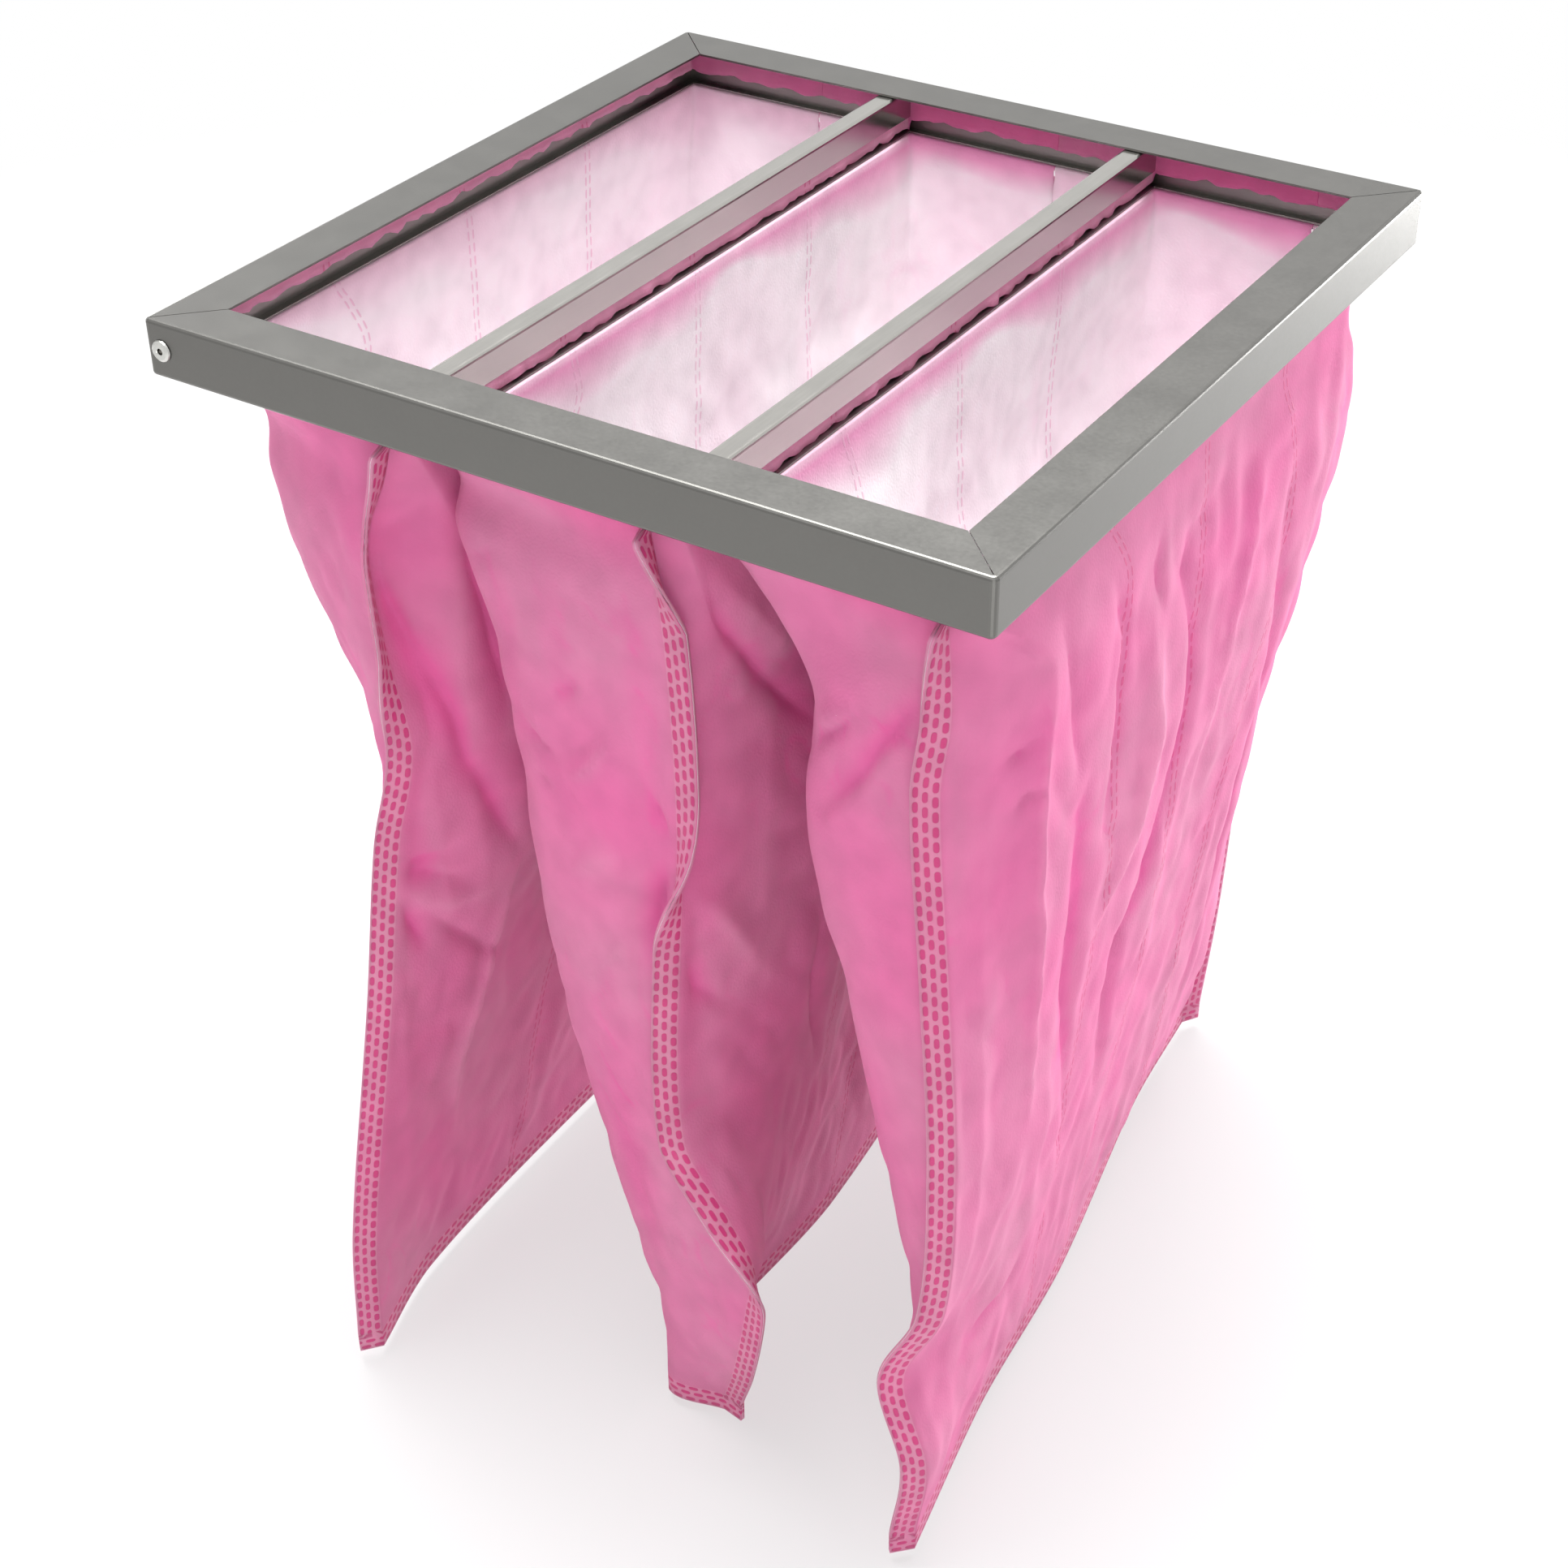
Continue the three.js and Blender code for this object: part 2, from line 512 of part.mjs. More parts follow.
// Facet normals that meet at one grid point.
function normalsAt(grid, r, c) {
  const normals = [];
  for (const [dr, dc] of [[-1, -1], [-1, 1], [1, 1], [1, -1]]) {
    const [down, across] = [grid[r + dr]?.[c], grid[r][c + dc]];
    if (!down || !across) continue;
    const rowStep = down.clone().sub(grid[r][c]).multiplyScalar(dr);
    const columnStep = across.clone().sub(grid[r][c]).multiplyScalar(dc);
    normals.push(rowStep.cross(columnStep).normalize());
  }
  return normals;
}

// Closed sheet that lies between two distances off a grid of points.
function sheetGeometry(grid, side, near, far) {
  const [rows, columns] = [grid.length, grid[0].length];
  const skins = [near, far].map((distance) => grid.flatMap((row, r) => row.map((point, c) => (
    point.clone().addScaledVector(mitredStep(normalsAt(grid, r, c)), side * distance)
  ))));
  const at = (skin, r, c) => skin * rows * columns + r * columns + c;
  const faces = [];
  const quad = (a, b, c, d) => faces.push([a, b, c], [a, c, d]);
  for (let r = 0; r < rows - 1; r += 1) {
    for (let c = 0; c < columns - 1; c += 1) {
      quad(at(1, r, c), at(1, r, c + 1), at(1, r + 1, c + 1), at(1, r + 1, c));
      quad(at(0, r, c), at(0, r + 1, c), at(0, r + 1, c + 1), at(0, r, c + 1));
    }
    quad(at(0, r, 0), at(1, r, 0), at(1, r + 1, 0), at(0, r + 1, 0));
    quad(at(1, r, columns - 1), at(0, r, columns - 1), at(0, r + 1, columns - 1), at(1, r + 1, columns - 1));
  }
  for (let c = 0; c < columns - 1; c += 1) {
    quad(at(0, 0, c), at(0, 0, c + 1), at(1, 0, c + 1), at(1, 0, c));
    quad(at(1, rows - 1, c), at(1, rows - 1, c + 1), at(0, rows - 1, c + 1), at(0, rows - 1, c));
  }
  const wound = side < 0 ? faces : faces.map(([a, b, c]) => [a, c, b]);
  return closedGeometry(skins.flat(), wound);
}

// Strip of fabric that joins the two panels of a pocket along one upright line.
function spanStrip(leftGrid, rightGrid, column) {
  const firstSection = leftGrid.length - 1 - DEPTH_ROWS.length;
  const short = HALF_GAP + CLEAR;
  const rows = [];
  DEPTH_ROWS.forEach((depth, i) => {
    if (depth < SPAN_STRIP_TOP || depth > SPAN_STRIP_BOTTOM) return;
    const [left, right] = [leftGrid, rightGrid].map((grid) => grid[firstSection + i][column]);
    const step = right.clone().sub(left).setLength(short);
    rows.push([left.clone().add(step), right.clone().sub(step)]);
  });
  return sheetGeometry(rows, 1, -SPAN_STRIP / 2, SPAN_STRIP / 2);
}

const filter = new THREE.Group();

function addPiece(name, geometry, material) {
  const mesh = new THREE.Mesh(geometry, material);
  mesh.name = name;
  filter.add(mesh);
}

addPiece('header_frame', headerFrame(), galvanised);
addPiece('corner_rivet', cornerRivet(), rivetAluminium);
addPiece('rivet_mandrel', rivetMandrel(), mandrelSteel);
for (let i = 0; i < POCKET_COUNT - 1; i += 1) {
  addPiece(`divider_bar_${i + 1}`, dividerBar(FIRST_DIVIDER + i * POCKET_PITCH), brightSteel);
}
for (let pocket = 0; pocket < POCKET_COUNT; pocket += 1) {
  const label = `pocket_${pocket + 1}`;
  const [leftGrid, rightGrid] = [-1, 1].map((side) => panelGrid(pocket, side));
  addPiece(`pocket_frame_${pocket + 1}`, pocketFrame(pocket), brightSteel);
  addPiece(`${label}_left_panel`, sheetGeometry(leftGrid, -1, HALF_GAP, MEDIA_OUT), pinkMedia);
  addPiece(`${label}_right_panel`, sheetGeometry(rightGrid, 1, HALF_GAP, MEDIA_OUT), pinkMedia);
  const nearFold = 1 + NARROW_STEPS;
  [1, 2, 3].forEach((line) => {
    const column = nearFold + line * HALF_LONG_STEPS / 2;
    addPiece(`${label}_span_strip_${line}`, spanStrip(leftGrid, rightGrid, column), paleMedia);
  });
}

export default filter;
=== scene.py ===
import math

import bpy
import numpy as np
from mathutils import Matrix, Vector, noise


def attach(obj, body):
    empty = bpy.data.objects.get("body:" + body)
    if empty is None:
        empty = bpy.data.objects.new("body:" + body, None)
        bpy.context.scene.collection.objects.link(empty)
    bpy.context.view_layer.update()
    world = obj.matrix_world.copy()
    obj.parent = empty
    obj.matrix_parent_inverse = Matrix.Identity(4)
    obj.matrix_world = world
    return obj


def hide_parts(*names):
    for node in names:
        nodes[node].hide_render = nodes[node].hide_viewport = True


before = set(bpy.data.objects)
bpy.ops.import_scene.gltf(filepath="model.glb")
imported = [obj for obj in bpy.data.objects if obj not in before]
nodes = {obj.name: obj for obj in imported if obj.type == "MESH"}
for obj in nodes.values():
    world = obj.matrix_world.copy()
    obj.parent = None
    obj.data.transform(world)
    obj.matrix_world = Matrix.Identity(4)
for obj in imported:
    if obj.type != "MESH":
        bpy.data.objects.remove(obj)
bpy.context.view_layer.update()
bpy.ops.object.select_all(action="DESELECT")

MM = 0.001

# Sizes of the steel parts that the fabric lies on, as in the part's source, in millimetres.
HEADER_HALF = 195
SHEET = 1
REAR_FLANGE = 10
CLEAR = 0.3
HALF_GAP = CLEAR / 2
DIVIDERS_X = [-65, 65]
PITCH = 130
STRIP = 0.8
STRIP_LIP = 4.5
HEADER_DEPTH = 25
STRIP_UNDER_FLANGE = 2.8
SIDE_SPACE = 3.45

# Filter medium.
MEDIUM = 1.1
MEDIUM_OUT = HALF_GAP + MEDIUM
DROP = 487
SEAM = 11
SPAN_TOP = 0.3
SPAN_BOTTOM = 0.82
SPAN_THICK = 0.8

# Worked out from the sizes above.
WALL_FACE = HEADER_HALF - SHEET
MOUTH_LINE = WALL_FACE - SIDE_SPACE - MEDIUM_OUT
THROAT = MOUTH_LINE - (HEADER_HALF - REAR_FLANGE - CLEAR - MEDIUM_OUT)
STRIP_BOTTOM = SHEET + 2 * CLEAR + MEDIUM
STRIP_TOP = HEADER_DEPTH - SHEET - STRIP_UNDER_FLANGE
HEM_INSET = STRIP + 2 * HALF_GAP
DRAPE_UNIT = DROP / 1000

# How each pocket hangs, as in the part's source. Depths are shares of the drop, and distances are
# thousandths of it. A seam row is depth, across from the pocket's middle, out past the mouth's end. A fold
# row is depth, out past the mouth's long side, in from the mouth's end. A flap row is depth, degrees that
# the seam allowance leans to -X.
DRAPES = [
    dict(
        near_seam=[(0, 100, 0), (0.04, 90, 4), (0.1, 66, 6), (0.15, 66, 8), (0.22, 78, 10),
                   (0.3, 99, 14), (0.4, 84, 27), (0.57, 70, 45), (0.86, 39, 74)],
        flap=[(0, -30), (0.2, -30), (0.32, 50), (1, 40)],
        near_left=[(0, 0, 0), (0.02, -4, 31), (0.06, -14, 68), (0.12, -16, 66), (0.21, -39, 68),
                   (0.34, -86, 82), (0.57, -92, 103), (0.86, -101, 51)],
        near_right=[(0, 0, 0), (0.08, 8, 37), (0.2, 16, 68), (0.32, 21, 88), (0.44, 12, 88),
                    (0.52, -16, 84), (0.7, -57, 62), (0.91, -94, 41)],
        mid_left=[(0, 0), (0.2, -6), (0.5, -37), (0.8, -76)],
        mid_right=[(0, 0), (0.2, -4), (0.5, -41), (0.8, -90)],
        far_left=[(0, 0, 0), (0.2, -10, 37), (0.5, -37, 47), (0.8, -84, 37)],
        far_right=[(0, 0, 0), (0.2, -12, 33), (0.5, -49, 43), (0.8, -90, 43)],
        far_seam=[(0, 37, 0), (0.5, 16, 31)],
        corner=(29, 76), near_fold=(0, 31), middle=(-12, -10), far_fold=(2, 37), far_corner=(0, 80),
    ),
    dict(
        near_seam=[(0, 88, 0), (0.12, 103, 4), (0.25, 111, 8), (0.35, 113, 12), (0.62, 111, 18),
                   (0.69, 154, 18), (0.74, 181, 18), (0.81, 168, 8), (0.93, 136, -16)],
        flap=[(0, -85), (0.24, -85), (0.3, -60), (0.36, 5), (0.42, 52), (0.63, 50), (0.69, 20),
              (0.75, -35), (0.81, -75), (1, -80)],
        near_left=[(0, 0, 0), (0.04, 0, 33), (0.08, 2, 27), (0.16, -21, 27), (0.29, -43, 23),
                   (0.48, -64, 27), (0.64, -97, 27), (0.84, -140, 37), (0.88, -168, 27)],
        near_right=[(0, 0, 0), (0.12, 10, 37), (0.2, 8, 97), (0.27, 14, 162), (0.5, 12, 160),
                    (0.64, 4, 140), (0.81, 4, 88), (0.93, -33, 51)],
        mid_left=[(0, 0), (0.2, -4), (0.4, -29), (0.6, -76), (0.8, -123)],
        mid_right=[(0, 0), (0.2, 4), (0.5, -6), (0.8, -49)],
        far_left=[(0, 0, 0), (0.2, -16, 29), (0.5, -47, 39), (0.8, -94, 49)],
        far_right=[(0, 0, 0), (0.2, -4, 33), (0.5, -25, 45), (0.8, -78, 53)],
        far_seam=[(0, 41, 0), (0.5, 16, 25)],
        corner=(109, -39), near_fold=(49, 31), middle=(45, -41), far_fold=(8, 68), far_corner=(0, 43),
    ),
    dict(
        near_seam=[(0, 86, 0), (0.09, 94, 2), (0.16, 90, 8), (0.33, 107, 16), (0.51, 125, 27),
                   (0.68, 119, 27), (0.78, 82, 27), (0.88, 107, 27)],
        flap=[(0, 57), (1, 45)],
        near_left=[(0, 0, 0), (0.04, -18, 27), (0.13, -74, 27), (0.25, -68, 27), (0.39, -103, 27),
                   (0.54, -131, 27), (0.7, -177, 27), (0.8, -185, 37), (0.9, -181, 109)],
        near_right=[(0, 0, 0), (0.08, 12, 86), (0.5, 12, 84), (0.62, 8, 78), (0.77, -16, 109),
                    (0.93, -37, 140)],
        mid_left=[(0, 0), (0.2, -16), (0.5, -66), (0.8, -127)],
        mid_right=[(0, 0), (0.2, 8), (0.5, -12), (0.8, -49)],
        far_left=[(0, 0, 0), (0.2, -12, 29), (0.5, -41, 37), (0.8, -74, 49)],
        far_right=[(0, 0, 0), (0.03, -6, 57), (0.09, -6, 35), (0.18, -12, 16), (0.31, -21, 45),
                   (0.47, -35, 86), (0.64, -55, 84), (0.85, -88, 53)],
        far_seam=[(0, 45, 0), (0.3, 25, 14), (0.6, 4, 25), (0.85, -12, 45)],
        corner=(88, 10), near_fold=(55, 181), middle=(37, 0), far_fold=(-14, 88), far_corner=(-27, 57),
    ),
]
FAR_FLAP_LEAN = -34
WAVE_HEIGHT = 2.2
WAVE_LENGTH = 118

# The hem inside the pocket frame: how high it ends, and how unevenly it is cut and puffed out there.
HEM_END_AT_WALL = 9.5
HEM_END_AT_DIVIDER = 4.4
HEM_FREE_ROWS = 4
HEM_EDGE = 4
HEM_RAGGED = 2.4
HEM_RAGGED_GRAIN = 0.13
HEM_PUFFED = 2.6
HEM_PUFFED_GRAIN = 0.1
LIP_RUN = 2.5

# Depths where the rows are closer together, just under the header, and where the seam allowances open out.
UPPER_DEPTHS = [0.006, 0.01, 0.014, 0.018, 0.024]
OPEN_START, OPEN_SPAN = 0.004, 0.012
LEAN_START, LEAN_SPAN = 0.014, 0.08
ALLOWANCE_STEP = 0.4
SEAM_PULL = 0.55

# Height in millimetres of the folds that the medium falls into by itself, from three sizes of noise.
SOFT_FOLD = 1.8
HANGING_FOLD = -3.4
SMALL_FOLD = 2.4
FOLD_LEVEL = 0.2

# How those folds read in the colour, as painted shade and painted highlight: sharp hollows are painted deep
# pink for shade, ridges are painted pale for highlight, and the last value paints the hem's top fold pale
# for the light that comes through it.
TONE_LEVEL = 0.9
TONE_HANGING = -6
TONE_PINCH = -2.6
PINCH_WIDTH = 0.09
HEM_PAINTED_PALE = 8.0

# Painted pink light at the top of the insides, as of light shining through the medium there, strong on the
# left webs of pockets 2 and 3.
PAINTED_GLOW_DEPTH = 17
PAINTED_GLOW_STRONG = 0.9
PAINTED_GLOW_FAINT = 0.3

# The span strips: how far they stop from the webs' middle surface, and how far they bow.
SPAN_SHARES = [1.5, 2.0, 2.5]
SPAN_ROWS = 27
SPAN_COLUMNS = 6
SPAN_STAND_OFF = 4.2
SPAN_BOW = 1.2
SPAN_BOW_TURNS = 40

# Creases pressed into the webs: pocket from 0, side, points as section share and depth, then the height
# outwards and half width in millimetres. CREASE_GAIN makes all of them stronger.
CREASES = [
    (0, 1, [(0.03, 0.142), (0.3, 0.225), (0.5, 0.327), (1.06, 0.478)], -3.2, 7),
    (0, 1, [(0.07, 0.137), (0.23, 0.205), (0.17, 0.332)], -2, 6),
    (0, 1, [(1.06, 0.478), (1.03, 0.547), (1.01, 0.63), (0.93, 0.727), (1.01, 0.815)], 2.6, 4.5),
    (0, 1, [(0.07, 0.425), (0.25, 0.43), (0.47, 0.43)], -2.2, 3.5),
    (0, 1, [(0.05, 0.435), (0.3, 0.449), (0.6, 0.469)], -2, 3.5),
    (0, 1, [(0.03, 0.464), (0.12, 0.488), (0.28, 0.527)], -2, 3.5),
    (0, 1, [(0.3, 0.493), (0.62, 0.537), (1.07, 0.6)], -2, 3.5),
    (0, 1, [(0.07, 0.454), (0.38, 0.483), (0.85, 0.498)], 2, 7),
    (0, 1, [(0.17, 0.103), (0.5, 0.079), (1, 0.069)], -1.8, 4),
    (0, 1, [(1.06, 0.064), (1, 0.118), (1, 0.191), (0.95, 0.293)], -2.6, 6),
    (1, -1, [(0.85, 0.254), (0.75, 0.262), (0.66, 0.269)], -2.1, 4.5),
    (1, -1, [(0.65, 0.288), (0.47, 0.264), (0.3, 0.22)], 2.1, 5.5),
    (1, -1, [(0.6, 0.262), (0.45, 0.242), (0.33, 0.208)], -1.5, 4.5),
    (1, -1, [(0.6, 0.205), (0.5, 0.191), (0.42, 0.171)], -1.8, 3.5),
    (1, -1, [(0.82, 0.293), (0.75, 0.298), (0.68, 0.303)], -1.8, 3.5),
    (1, -1, [(0.97, 0.108), (0.85, 0.098), (0.78, 0.088)], -1.5, 3),
    (1, -1, [(0.47, 0.464), (0.38, 0.444), (0.28, 0.425)], 1.6, 4),
    (1, -1, [(0.68, 0.386), (0.45, 0.352), (0.2, 0.322)], 1.6, 8),
    (1, -1, [(0.15, 0.269), (0.1, 0.283), (0.03, 0.303)], -2.4, 5),
    (1, 1, [(0.82, 0.03), (1.03, 0.108), (1.04, 0.191), (1.03, 0.269)], -3, 6),
    (1, 1, [(1.04, 0.024), (1.1, 0.084), (1.19, 0.171)], 2.2, 8),
    (1, 1, [(1.07, 0.508), (1.11, 0.566), (1.3, 0.673)], -2, 5),
    (1, 1, [(0.05, 0.425), (0.15, 0.464), (0.33, 0.503)], -2, 4.5),
    (1, 1, [(0.07, 0.352), (0.3, 0.405), (0.62, 0.493)], 2.2, 8),
    (1, -1, [(0.03, 0.308), (0.12, 0.357), (0.2, 0.435)], -2.4, 6),
    (2, -1, [(0.82, 0.23), (0.55, 0.176), (0.17, 0.084)], -4, 8),
    (2, -1, [(0.82, 0.244), (0.55, 0.196), (0.25, 0.123)], 2.6, 8),
    (2, -1, [(1, 0.176), (0.78, 0.147), (0.62, 0.127)], -2.6, 4),
    (2, -1, [(0.93, 0.152), (0.75, 0.132), (0.62, 0.118)], 2.4, 5),
    (2, 1, [(0.65, 0.03), (0.8, 0.054), (1, 0.079)], 2.2, 5),
    (2, 1, [(1.01, 0.084), (0.95, 0.152), (0.93, 0.22), (0.95, 0.308),
             (1.03, 0.43), (1.07, 0.542)], 2.4, 4.5),
    (2, 1, [(0.57, 0.152), (0.75, 0.152), (0.9, 0.147)], -2, 3.5),
    (2, 1, [(0.72, 0.205), (0.82, 0.201), (0.93, 0.196)], -2, 3.5),
    (2, 1, [(1.23, 0.024), (1.11, 0.069), (1.16, 0.127), (1.21, 0.21)], -2, 4.5),
    (2, 1, [(1.41, 0.04), (1.49, 0.127), (1.49, 0.22), (1.44, 0.318)], -2.6, 6),
    (2, 1, [(1.73, 0.059), (1.7, 0.098), (1.74, 0.147)], -2, 4),
    (2, 1, [(2.09, 0.084), (1.9, 0.098), (1.9, 0.132), (1.99, 0.215), (1.96, 0.342),
             (1.86, 0.449), (1.71, 0.508), (1.8, 0.688)], -3.2, 7),
    (2, 1, [(2.31, 0.103), (2.26, 0.171), (2.21, 0.254), (2.2, 0.352)], 3, 9),
    (2, 1, [(2.47, 0.157), (2.53, 0.249), (2.81, 0.435), (2.8, 0.62), (2.7, 0.839)], -3, 7),
    (2, 1, [(1.67, 0.142), (1.73, 0.264), (1.64, 0.352), (1.44, 0.425)], 3, 10),
    (2, 1, [(1.24, 0.259), (1.3, 0.42), (1.49, 0.683)], -2.2, 6),
    (2, 1, [(1.21, 0.805), (1.06, 0.815), (0.7, 0.815)], -2, 5),
]

CREASE_GAIN = 1.75
CREASE_TIP = 0.04

# Welding pattern: rows of ovals along the seams, in millimetres, and the share of the pitch by which each
# row is shifted. Off the welds, weld_mm holds a number past any of them.
DASH_ROW = 3.67
DASH_PITCH = 6.4
DASH_HALF_LENGTH = 2.3
DASH_HALF_WIDTH = 1.05
DASH_SHIFT = 0.37
WELD_LINE_OUT = 1.7
WELD_LINE_HALF = 0.6
OFF_WELD = 50.0

# Fineness of the fabric.
DEPTH_STEPS = 150
NARROW_STEPS = 32
HALF_LONG_STEPS = 52
FLAP_STEPS = 3
SEAM_ROWS = 3


def along(rows, depth, column):
    """Smooth values at an array of depths, from rows that start with their depth."""
    table = np.array([[row[0], row[column]] for row in rows], float)
    places, values = table[:, 0], table[:, 1]
    last = len(places) - 1
    i = np.clip(np.searchsorted(places, depth, side="left") - 1, 0, last - 1)
    before, after = np.maximum(i - 1, 0), np.minimum(i + 2, last)
    step = places[i + 1] - places[i]
    start_slope = (values[i + 1] - values[before]) / (places[i + 1] - places[before]) * step
    end_slope = (values[after] - values[i]) / (places[after] - places[i]) * step
    t = np.clip((depth - places[i]) / step, 0, 1)
    t2, t3 = t * t, t * t * t
    return ((2 * t3 - 3 * t2 + 1) * values[i] + (t3 - 2 * t2 + t) * start_slope
            + (3 * t2 - 2 * t3) * values[i + 1] + (t3 - t2) * end_slope)


def mouth_of(pocket):
    """Middle and half width of a pocket's mouth, and how high its hem ends on the left and on the right."""
    off_divider = HALF_GAP + MEDIUM_OUT
    first = DIVIDERS_X[0] + (pocket - 1) * PITCH
    left = -MOUTH_LINE if pocket == 0 else first + off_divider
    right = MOUTH_LINE if pocket == 2 else first + PITCH - off_divider
    left_end = HEM_END_AT_WALL if pocket == 0 else HEM_END_AT_DIVIDER
    right_end = HEM_END_AT_WALL if pocket == 2 else HEM_END_AT_DIVIDER
    return (left + right) / 2, (right - left) / 2, left_end, right_end


def guide_points(pocket, side, depth):
    """Five guide points of a web's section at each depth, from its near seam to its far seam."""
    middle, half, _, _ = mouth_of(pocket)
    drape = DRAPES[pocket]
    edge, end = half - THROAT, MOUTH_LINE - THROAT
    name = "left" if side < 0 else "right"

    def seam(rows, corner, sign):
        full = rows + [(1, *corner)]
        return np.stack([middle + along(full, depth, 1) * DRAPE_UNIT,
                         sign * (end + along(full, depth, 2) * DRAPE_UNIT)], -1)

    def fold(rows, place, sign):
        full = rows + [(1, side * place[0] - edge / DRAPE_UNIT, place[1])]
        return np.stack([middle + side * (edge + along(full, depth, 1) * DRAPE_UNIT),
                         sign * (end - along(full, depth, 2) * DRAPE_UNIT)], -1)

    mid_rows = drape["mid_" + name] + [(1, side * drape["middle"][0] - edge / DRAPE_UNIT)]
    mid = np.stack([middle + side * (edge + along(mid_rows, depth, 1) * DRAPE_UNIT),
                    drape["middle"][1] * DRAPE_UNIT * depth], -1)
    return np.stack([
        seam(drape["near_seam"], drape["corner"], -1),
        fold(drape["near_" + name], drape["near_fold"], -1),
        mid,
        fold(drape["far_" + name], drape["far_fold"], 1),
        seam(drape["far_seam"], drape["far_corner"], 1),
    ], 1)


def centripetal(guides, shares):
    """Centripetal Catmull-Rom curve through five guide points for each row, at shares of 0 to 4."""
    first = 2 * guides[:, :1] - guides[:, 1:2]
    last = 2 * guides[:, -1:] - guides[:, -2:-1]
    points = np.concatenate([first, guides, last], 1)
    span = np.minimum(shares.astype(int), 3)
    weight = (shares - span)[None, :, None]
    p0, p1, p2, p3 = (points[:, span + k] for k in range(4))

    def knot(a, b):
        return np.maximum(np.linalg.norm(b - a, axis=-1, keepdims=True), 1e-6) ** 0.5

    d0, d1, d2 = knot(p0, p1), knot(p1, p2), knot(p2, p3)
    m1 = ((p1 - p0) / d0 - (p2 - p0) / (d0 + d1) + (p2 - p1) / d1) * d1
    m2 = ((p2 - p1) / d1 - (p3 - p1) / (d1 + d2) + (p3 - p2) / d2) * d1
    c2 = -3 * p1 + 3 * p2 - 2 * m1 - m2
    c3 = 2 * p1 - 2 * p2 + m1 + m2
    return p1 + m1 * weight + c2 * weight**2 + c3 * weight**3


def shares_of(narrow, half_long):
    """Section shares of a web's columns: a whole number at each guide point."""
    steps = [narrow, half_long, half_long, narrow]
    return np.concatenate([span + np.arange(n) / n for span, n in enumerate(steps)] + [[4.0]])


def sections(pocket, side, depth, shares):
    """Points across and along of a web's sections below the mouth."""
    guides = guide_points(pocket, side, depth)
    span = np.minimum(shares.astype(int), 3)
    weight = (shares - span)[None, :, None]
    straight = guides[:, span] * (1 - weight) + guides[:, span + 1] * weight
    softness = (np.minimum(depth / 0.15, 1) * 0.8)[:, None, None]
    points = straight * (1 - softness) + centripetal(guides, shares) * softness
    swell = np.sin(math.pi * depth)[:, None] * np.maximum(1 - np.abs(shares - 2), 0)[None]
    wave = np.sin(points[..., 1] * 2 * math.pi / WAVE_LENGTH + pocket)
    points[..., 0] += side * WAVE_HEIGHT * swell * wave
    return points


def hem_path(end):
    """Inset and height of the medium from the hem's end over the strip, down and under its lip."""
    path = [(HEM_INSET, end + k * (STRIP_TOP - end) / 5) for k in range(5)]
    mid, top = HEM_INSET / 2, STRIP_TOP + HALF_GAP - HEM_INSET / 2
    for degrees in (0, 30, 60, 90, 120, 150, 180):
        turn = math.radians(degrees)
        path.append((mid + mid * math.cos(turn), top + mid * math.sin(turn)))
    low = STRIP_BOTTOM - HALF_GAP
    path += [(0, top - k * (top - low) / 5) for k in range(1, 5)]
    path += [(0, low + 0.4), (0.12, low + 0.12), (0.4, low), (LIP_RUN, low)]
    throat = THROAT - STRIP_LIP - HALF_GAP
    for degrees in (90, 60, 30, 0):
        turn = math.radians(degrees)
        path.append((THROAT - throat + throat * math.cos(turn), low - throat + throat * math.sin(turn)))
    return path


def hem_rows(pocket, side, shares):
    """Rectangular rows of a web round its pocket frame, with an end that is cut a little unevenly."""
    middle, half, hem_left, hem_right = mouth_of(pocket)
    at_long = hem_left if side < 0 else hem_right
    drape = DRAPES[pocket]
    path_long, path_end = hem_path(at_long), hem_path(HEM_END_AT_WALL)
    span = np.minimum(shares.astype(int), 3)
    weight = (shares - span)[:, None]
    rows = []
    for (inset, z_long), (_, z_end) in zip(path_long, path_end):
        x, y = half - inset, MOUTH_LINE - inset
        guides = np.array([
            (middle + drape["near_seam"][0][1] * DRAPE_UNIT, -y),
            (middle + side * x, -y),
            (middle + side * x, 0),
            (middle + side * x, y),
            (middle + drape["far_seam"][0][1] * DRAPE_UNIT, y),
        ])
        flat = guides[span] * (1 - weight) + guides[span + 1] * weight
        on_long = (shares >= 1) & (shares <= 3)
        rows.append(np.column_stack([flat, np.where(on_long, z_long, z_end)]))
    for c, (x, y, _) in enumerate(rows[0]):
        seed = pocket * 7.0
        ragged = noise.noise(Vector((x * HEM_RAGGED_GRAIN, y * HEM_RAGGED_GRAIN, seed)))
        puffed = abs(noise.noise(Vector((x * HEM_PUFFED_GRAIN, y * HEM_PUFFED_GRAIN, 50 + seed))))
        inward_x = np.sign(middle - x) * (abs(x - middle) > half - HEM_EDGE)
        inward_y = np.sign(-y) * (abs(y) > MOUTH_LINE - HEM_EDGE)
        for r in range(HEM_FREE_ROWS):
            free = 1 - r / HEM_FREE_ROWS
            rows[r][c, 2] += HEM_RAGGED * ragged * free
            rows[r][c, 0] += HEM_PUFFED * puffed * free * inward_x
            rows[r][c, 1] += HEM_PUFFED * puffed * free * inward_y
    return np.array(rows)


